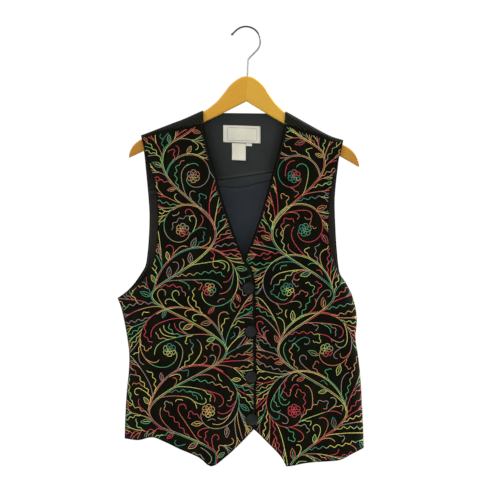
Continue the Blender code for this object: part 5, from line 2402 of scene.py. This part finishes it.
@dataclass
class Labels:
    """Bare woven labels on the facing."""

    shop: Workshop
    layers: Layers
    slope: float = 0.034
    steps_down: int = 12
    steps_across: int = 18
    frame_sides: tuple[float, float] = (-33.6, 18.1)
    frame_heights: tuple[float, float] = (-175.2, -197.4)
    frame_colour: Colour = (0.20, 0.20, 0.34)
    stitch_colour: Colour = (0.6, 0.57, 0.47)

    def y_at(self, facing: Surface, x: float, z: float) -> float:
        """y of the facing's middle surface at an x and a height.

        Args:
            facing: The facing's surface.
            x: The place across.
            z: The height.

        Returns:
            y there.
        """
        ys = [np.interp(x, row[:, 0], row[:, 1]) for row in facing.points]
        zs = [np.interp(x, row[:, 0], row[:, 2]) for row in facing.points]
        return float(np.interp(-z, -np.array(zs), np.array(ys)))

    def surface(self, ribbon: Ribbon, facing: Surface) -> Surface:
        """A label's middle surface. It curls a little at its foot.

        Args:
            ribbon: The label.
            facing: The facing's surface.

        Returns:
            The surface.
        """
        rows = []
        for share in np.linspace(0, 1, self.steps_down + 1):
            z = mixed(ribbon.top, ribbon.bottom, share)
            row = []
            for t in np.linspace(0, 1, self.steps_across + 1):
                x = mixed(ribbon.left, ribbon.right, t)
                low = z - self.slope * (x - ribbon.left)
                ripple = 0.35 * ribbon.stand * share * math.sin(5 * t + ribbon.left)
                lift = self.layers.label_lift() + ribbon.stand * share**2 + max(0, ripple)
                row.append((x, self.y_at(facing, x, low) - lift, low))
            rows.append(row)
        down, across = np.arange(self.steps_down + 1.0), np.arange(self.steps_across + 1.0)
        return Surface(np.array(rows), down, across)

    def frame_line(self, surface: Surface, yarn: Finish) -> Piece:
        """The thin woven frame on the main label.

        Args:
            surface: The label's surface.
            yarn: The yarn's material.

        Returns:
            The frame.
        """
        (left, right), (top, bottom) = self.frame_sides, self.frame_heights
        ribbon = RIBBONS[0]
        threads = Stitching(width=0.8, height=0.16, sink=0.02)
        corners = [(left, top), (right, top), (right, bottom), (left, bottom)]
        for first, last in zip(corners, corners[1:] + corners[:1]):
            share = np.linspace(0, 1, 24)
            x = mixed(first[0], last[0], share)
            z = mixed(first[1], last[1], share)
            columns = self.steps_across * (x - ribbon.left) / (ribbon.right - ribbon.left)
            rows = self.steps_down * (z - ribbon.top) / (ribbon.bottom - ribbon.top)
            normals = sampled(surface.normals, rows, columns)
            points = sampled(surface.points, rows, columns) + normals * (self.layers.label / 2)
            threads.line(points, normals, self.frame_colour, pulse=0.05)
        return threads.piece(self.shop, "label_frame", yarn, "label_cloth")

    def build(self, facing: Surface, finish: Finish, yarn: Finish) -> None:
        """Builds the labels on the facing.

        Args:
            facing: The facing's surface.
            finish: The material.
            yarn: The yarn's material.
        """
        for ribbon in RIBBONS:
            surface = self.surface(ribbon, facing)
            made = self.shop.cloth(ribbon.name, surface, self.layers.label, finish, "label_cloth")
            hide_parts(ribbon.node)
            sewing = EdgeStitching(1.1, 2.4, length=1.7, width=0.35, height=0.2, colour=self.stitch_colour)
            lift = self.layers.label / 2
            grid, normals = surface.points, surface.normals
            sewing.beside(grid[0], grid[2], normals[0], lift)
            sewn = [sewing.threads.piece(self.shop, f"{ribbon.name}_stitches", yarn, "label_cloth")]
            if ribbon is RIBBONS[0]:
                sewn.append(self.frame_line(surface, yarn))


@dataclass
class Buttons:
    """Four covered dome buttons on the left front."""

    shop: Workshop
    layers: Layers
    places: tuple[tuple[float, float], ...] = ((3.5, -458), (7.5, -533.5), (8, -613.5), (9.5, -687.5))
    sides: int = 56
    height: float = 6.4
    across: float = 20
    outline: Rows = (
        (0, 6.4), (1.6, 6.35), (3.2, 6.1), (5, 5.65), (6.8, 4.9), (8.1, 4.05), (9.1, 3.1), (9.75, 2.15),
        (10, 1.4), (9.85, 0.8), (9.4, 0.4), (8.6, 0), (0, 0),
    )

    def build(self, finish: Finish) -> None:
        """Builds the buttons where their solids are.

        Args:
            finish: The cover's material.
        """
        for number, (x, z) in enumerate(self.places, start=1):
            low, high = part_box(f"button_{number}")
            shape = bmesh.new()
            profile = [shape.verts.new((r * MM, 0, h * MM)) for r, h in self.outline]
            edges = [shape.edges.new(pair) for pair in zip(profile, profile[1:])]
            turned = {"cent": (0, 0, 0), "axis": (0, 0, 1), "angle": 2 * math.pi, "steps": self.sides}
            bmesh.ops.spin(shape, geom=profile + edges, **turned)
            bmesh.ops.remove_doubles(shape, verts=shape.verts, dist=0.00002)
            seat = Vector((x * MM, high.y, z * MM))
            lean = (high.y - low.y - self.height * MM) / (self.across * MM)
            tilt = math.asin(max(-1, min(1, lean)))
            turn = Matrix.Rotation(math.pi / 2 - tilt, 4, "X")
            bmesh.ops.transform(shape, matrix=Matrix.Translation(seat) @ turn, verts=shape.verts)
            made = self.shop.solid(f"covered_button_{number}", shape, finish, "button_cover")
            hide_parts(f"button_{number}")


@dataclass
class Hanger:
    """The wooden hanger and its hook, tilted about the point that carries them."""

    shop: Workshop
    tilt: float = 2.3
    axis_x: float = AXIS_X
    thick: float = 12
    edge: float = 5
    bow: float = 12
    reach: float = 201.4
    arc_points: int = 9
    wire: float = 3.2
    hook_radius: float = 25.3
    hook_low: float = -43
    hook_high: float = 137
    hook_flare: float = 11.3
    hook_bend: float = 9
    shank_end: float = -97
    swells: Rows = (
        (0.25, 1), (0.5, 1.05), (0.62, 1.2), (0.74, 1.36), (0.86, 1.4), (0.94, 1.25), (0.98, 0.9), (1, 0.4),
    )
    arm: Rows = (
        (0.02, -85.2, -130), (9, -87, -135), (18, -92, -140), (30, -102.5, -146.7),
        (40, -116.6, -152.2), (52, -132, -158.5), (62, -141.2, -163.8), (70, -147.7, -168),
        (80, -153.3, -173.3), (110, -168.4, -189.3), (145, -185.6, -208), (172, -199.2, -222.3),
        (180, -203.2, -226.6), (188, -208.6, -230.9), (195, -215.8, -234.6), (199.5, -223.8, -236.9),
        (201.4, -230.5, -237.9),
    )

    def tilted(self, x: float, y: float, z: float) -> Point:
        """A point of the upright hanger where the tilted one has it, in metres."""
        cos, sin = math.cos(math.radians(self.tilt)), math.sin(math.radians(self.tilt))
        return (x * cos + z * sin) * MM, y * MM, (z * cos - x * sin) * MM

    def section(self, top: float, bottom: float) -> list[tuple[float, float]]:
        """y and z of an arm's section: a bar with rounded edges.

        Args:
            top: Height of its upper edge.
            bottom: Height of its lower edge.

        Returns:
            The points, in order round it.
        """
        radius = min(self.edge, (top - bottom) / 2 - 0.1)
        middle, up, side = (top + bottom) / 2, (top - bottom) / 2 - radius, self.thick / 2 - radius
        points = []
        for y, z, start in ((side, up, 0), (-side, up, 90), (-side, -up, 180), (side, -up, 270)):
            for step in range(self.arc_points):
                angle = math.radians(start + 90 * step / (self.arc_points - 1))
                points.append((y + radius * math.cos(angle), middle + z + radius * math.sin(angle)))
        return points

    def build_arm(self, name: str, sign: int, finish: Finish) -> None:
        """Lofts one arm from the centre out to its tip.

        Args:
            name: The piece's name.
            sign: -1 for the left arm, 1 for the right one.
            finish: The material.
        """
        shape = bmesh.new()
        knots = [row[0] for row in self.arm]
        spans = [np.linspace(a, b, 5)[:-1] for a, b in zip(knots, knots[1:])]
        reaches = np.concatenate([*spans, knots[-1:]])
        tops = along(tuple((row[0], row[1]) for row in self.arm), reaches)
        bottoms = along(tuple((row[0], row[2]) for row in self.arm), reaches)
        loops = []
        for reach, top, bottom in zip(reaches, tops, bottoms):
            x, forward = self.axis_x + sign * reach, -self.bow * (reach / self.reach) ** 2
            section = self.section(float(top), float(bottom))
            loops.append([shape.verts.new(self.tilted(x, y + forward, z)) for y, z in section])
        for first, second in zip(loops, loops[1:]):
            for k in range(len(first)):
                after = (k + 1) % len(first)
                shape.faces.new((first[k], first[after], second[after], second[k]))
        shape.faces.new(loops[0])
        shape.faces.new(loops[-1])
        side = "left" if sign < 0 else "right"
        made = self.shop.solid(name, shape, finish, "hanger_wood")
        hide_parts(f"hanger_arm_{side}")

    def route(self) -> list[Point]:
        """x, z and swelling along the hook's wire, from the shank in the wood to the free tip.

        Returns:
            The places.
        """
        centre_z = self.wire / 2 - self.hook_radius
        low, high = math.radians(self.hook_low), math.radians(self.hook_high)
        arc_x, arc_z = self.hook_radius * math.cos(low), centre_z + self.hook_radius * math.sin(low)
        slope = (math.sin(low), -math.cos(low))
        corner_z = arc_z + slope[1] * (self.axis_x - arc_x) / slope[0]
        lean = math.atan2(-slope[0], -slope[1])
        tangent = self.hook_bend * math.tan(lean / 2)
        points = [(self.axis_x, self.shank_end, 1), (self.axis_x, corner_z - tangent, 1)]
        for step in range(1, 9):
            angle = lean * step / 8
            x = self.axis_x + self.hook_bend * (1 - math.cos(angle))
            points.append((x, corner_z - tangent + self.hook_bend * math.sin(angle), 1))
        for step in range(49):
            angle = float(mixed(low, high, step / 48))
            x, z = self.hook_radius * math.cos(angle), self.hook_radius * math.sin(angle)
            points.append((x, centre_z + z, 1))
        last_x, last_z, _ = points[-1]
        for run, swell in self.swells:
            flare = self.hook_flare * run
            points.append((last_x - flare * math.sin(high), last_z + flare * math.cos(high), swell))
        return points

    def build_hook(self, finish: Finish) -> None:
        """Bends the hook's wire.

        Args:
            finish: The material.
        """
        curve = bpy.data.curves.new("wire_hook", "CURVE")
        curve.dimensions = "3D"
        curve.bevel_depth = self.wire / 2 * MM
        curve.bevel_resolution = 6
        curve.use_fill_caps = True
        route = self.route()
        line = curve.splines.new("POLY")
        line.points.add(len(route) - 1)
        for point, (x, z, swell) in zip(line.points, route):
            point.co = (*self.tilted(x, 0, z), 1)
            point.radius = swell
        line.use_smooth = True
        made = self.shop.rides(bpy.data.objects.new("wire_hook", curve), finish, "hook_wire")
        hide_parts("hanger_hook")

    def build(self, left: Finish, right: Finish, wire: Finish) -> None:
        """Builds both arms and the hook.

        Args:
            left: The left arm's material.
            right: The right arm's material.
            wire: The hook's material.
        """
        self.build_arm("wooden_arm_left", -1, left)
        self.build_arm("wooden_arm_right", 1, right)
        self.build_hook(wire)


@dataclass
class Studio:
    """A pale floor, soft lights and the camera."""

    field_mm: float = 861.4
    centre: tuple[float, float] = (-2.6, -382.4)
    distance: float = 4
    floor_z: float = -1.25
    floor_radius: float = 1.25
    sensor: float = 36
    sky_strength: float = 1.45
    sky_levels: Rows = ((0, 0.2), (0.26, 0.25), (0.42, 0.71), (0.56, 0.71), (1, 1))

    def floor(self, finish: Finish) -> None:
        """Lays a round floor under the hanging vest.

        Args:
            finish: The floor's material.
        """
        shape = bmesh.new()
        bmesh.ops.create_circle(shape, cap_ends=True, segments=96, radius=self.floor_radius)
        mesh = bpy.data.meshes.new("floor")
        shape.to_mesh(mesh)
        shape.free()
        mesh.materials.append(finish)
        made = bpy.data.objects.new("floor", mesh)
        made.location = (0, 0, self.floor_z)
        bpy.context.scene.collection.objects.link(made)

    def lamp(self, name: str, place: Point, aim: Point, power: float, size: float) -> None:
        """Hangs one soft lamp.

        Args:
            name: Its name.
            place: Where it hangs.
            aim: What it points at.
            power: Its power in watts.
            size: Its size in metres.
        """
        data = bpy.data.lights.new(name, "AREA")
        data.energy = power
        data.shape = "DISK"
        data.size = size
        made = bpy.data.objects.new(name, data)
        made.location = place
        made.rotation_euler = (Vector(aim) - Vector(place)).to_track_quat("-Z", "Y").to_euler()
        bpy.context.scene.collection.objects.link(made)

    def world(self) -> None:
        """Surrounds all with light: white at the level of the vest, brighter above and dim below."""
        sky = bpy.data.worlds.new("white studio")
        sky.use_nodes = True
        nodes = NodeTree(sky.node_tree)
        place = nodes.add("ShaderNodeTexCoord").outputs["Generated"]
        height = nodes.add("ShaderNodeSeparateXYZ", {"Vector": place}).outputs["Z"]
        share = nodes.add("ShaderNodeMapRange", {"Value": height, "From Min": -1}).outputs["Result"]
        ramp = nodes.add("ShaderNodeValToRGB", {"Fac": share})
        stops = ramp.color_ramp.elements
        for place, _ in self.sky_levels[1:-1]:
            stops.new(place)
        for stop, (place, level) in zip(stops, self.sky_levels):
            stop.position, stop.color = place, (level, level, level, 1)
        back = sky.node_tree.nodes["Background"].inputs
        nodes.feed(back["Strength"], self.sky_strength)
        nodes.feed(back["Color"], ramp.outputs["Color"])
        bpy.context.scene.world = sky
        bpy.context.scene.view_settings.view_transform = "Standard"

    def camera(self) -> None:
        """Sets the camera level with the middle of the picture."""
        data = bpy.data.cameras.new("camera")
        data.sensor_width = self.sensor
        data.lens = self.sensor * self.distance / (self.field_mm * MM)
        made = bpy.data.objects.new("camera", data)
        made.location = (self.centre[0] * MM, -self.distance, self.centre[1] * MM)
        made.rotation_euler = (math.pi / 2, 0, 0)
        bpy.context.scene.collection.objects.link(made)
        bpy.context.scene.camera = made

    def build(self) -> None:
        """Builds the whole studio."""
        self.floor(PaleFloor().make())
        middle = (0, 0, -0.4)
        self.lamp("key lamp", (-2.1, -1.3, 0.9), middle, 30, 0.8)
        self.lamp("fill lamp", (1.7, -1.9, 0.1), middle, 5, 1.6)
        self.lamp("rear lamp", (2.2, 0.9, 0.8), middle, 170, 0.6)
        self.world()
        self.camera()


def main() -> None:
    """Builds the vest, its hanger and the studio."""
    logging.basicConfig(level=logging.INFO, format="%(name)s: %(message)s")
    shop, layers, pattern = Workshop(), Layers(), Pattern()
    yarn = Yarn().make()
    buttons = Buttons(shop, layers)
    fronts = Fronts(pattern, shop, layers)
    fronts.shape()
    fronts.build(buttons.places, Suede().make(), yarn)
    back = BackBody(pattern, shop, layers)
    back.shape()
    facing = back.build(
        Twill(
            "charcoal twill", (0.0010, 0.0010, 0.0007), (0.0150, 0.0146, 0.0112), 3.6,
            sheen=0.05, specular=0.08, relief=0.45,
        ).make(),
        LiningCloth("charcoal facing", (0.0078, 0.0105, 0.0097), (0.0152, 0.0192, 0.0176), 0.55).make(),
        LiningCloth("navy lining", (0.0078, 0.0114, 0.0172), (0.0166, 0.0212, 0.0285), 0.45).make(),
        yarn,
    )
    ribbon = Twill("cream ribbon", (0.50, 0.485, 0.385), (0.635, 0.62, 0.515), 0.8, "X", 0.1, 0.6, 0.3).make()
    Labels(shop, layers).build(facing, ribbon, yarn)
    cover = Twill(
        "button cloth", (0.0014, 0.0020, 0.0019), (0.0046, 0.0060, 0.0056), 1.1, roughness=0.5, specular=0.16
    )
    buttons.build(cover.make())
    Hanger(shop).build(
        # The arms are two pieces of wood. The right one's lighter copy is partly its own tone and partly
        # painted light, for the way each arm meets the lamps.
        Lacquered("honey wood", (0.43, 0.205, 0.010), (0.52, 0.26, 0.016), 26).make(),
        Lacquered("honey wood with painted light", (0.44, 0.232, 0.015), (0.55, 0.305, 0.026), -22).make(),
        DrawnWire().make(),
    )
    Studio().build()


if __name__ == "__main__":
    main()
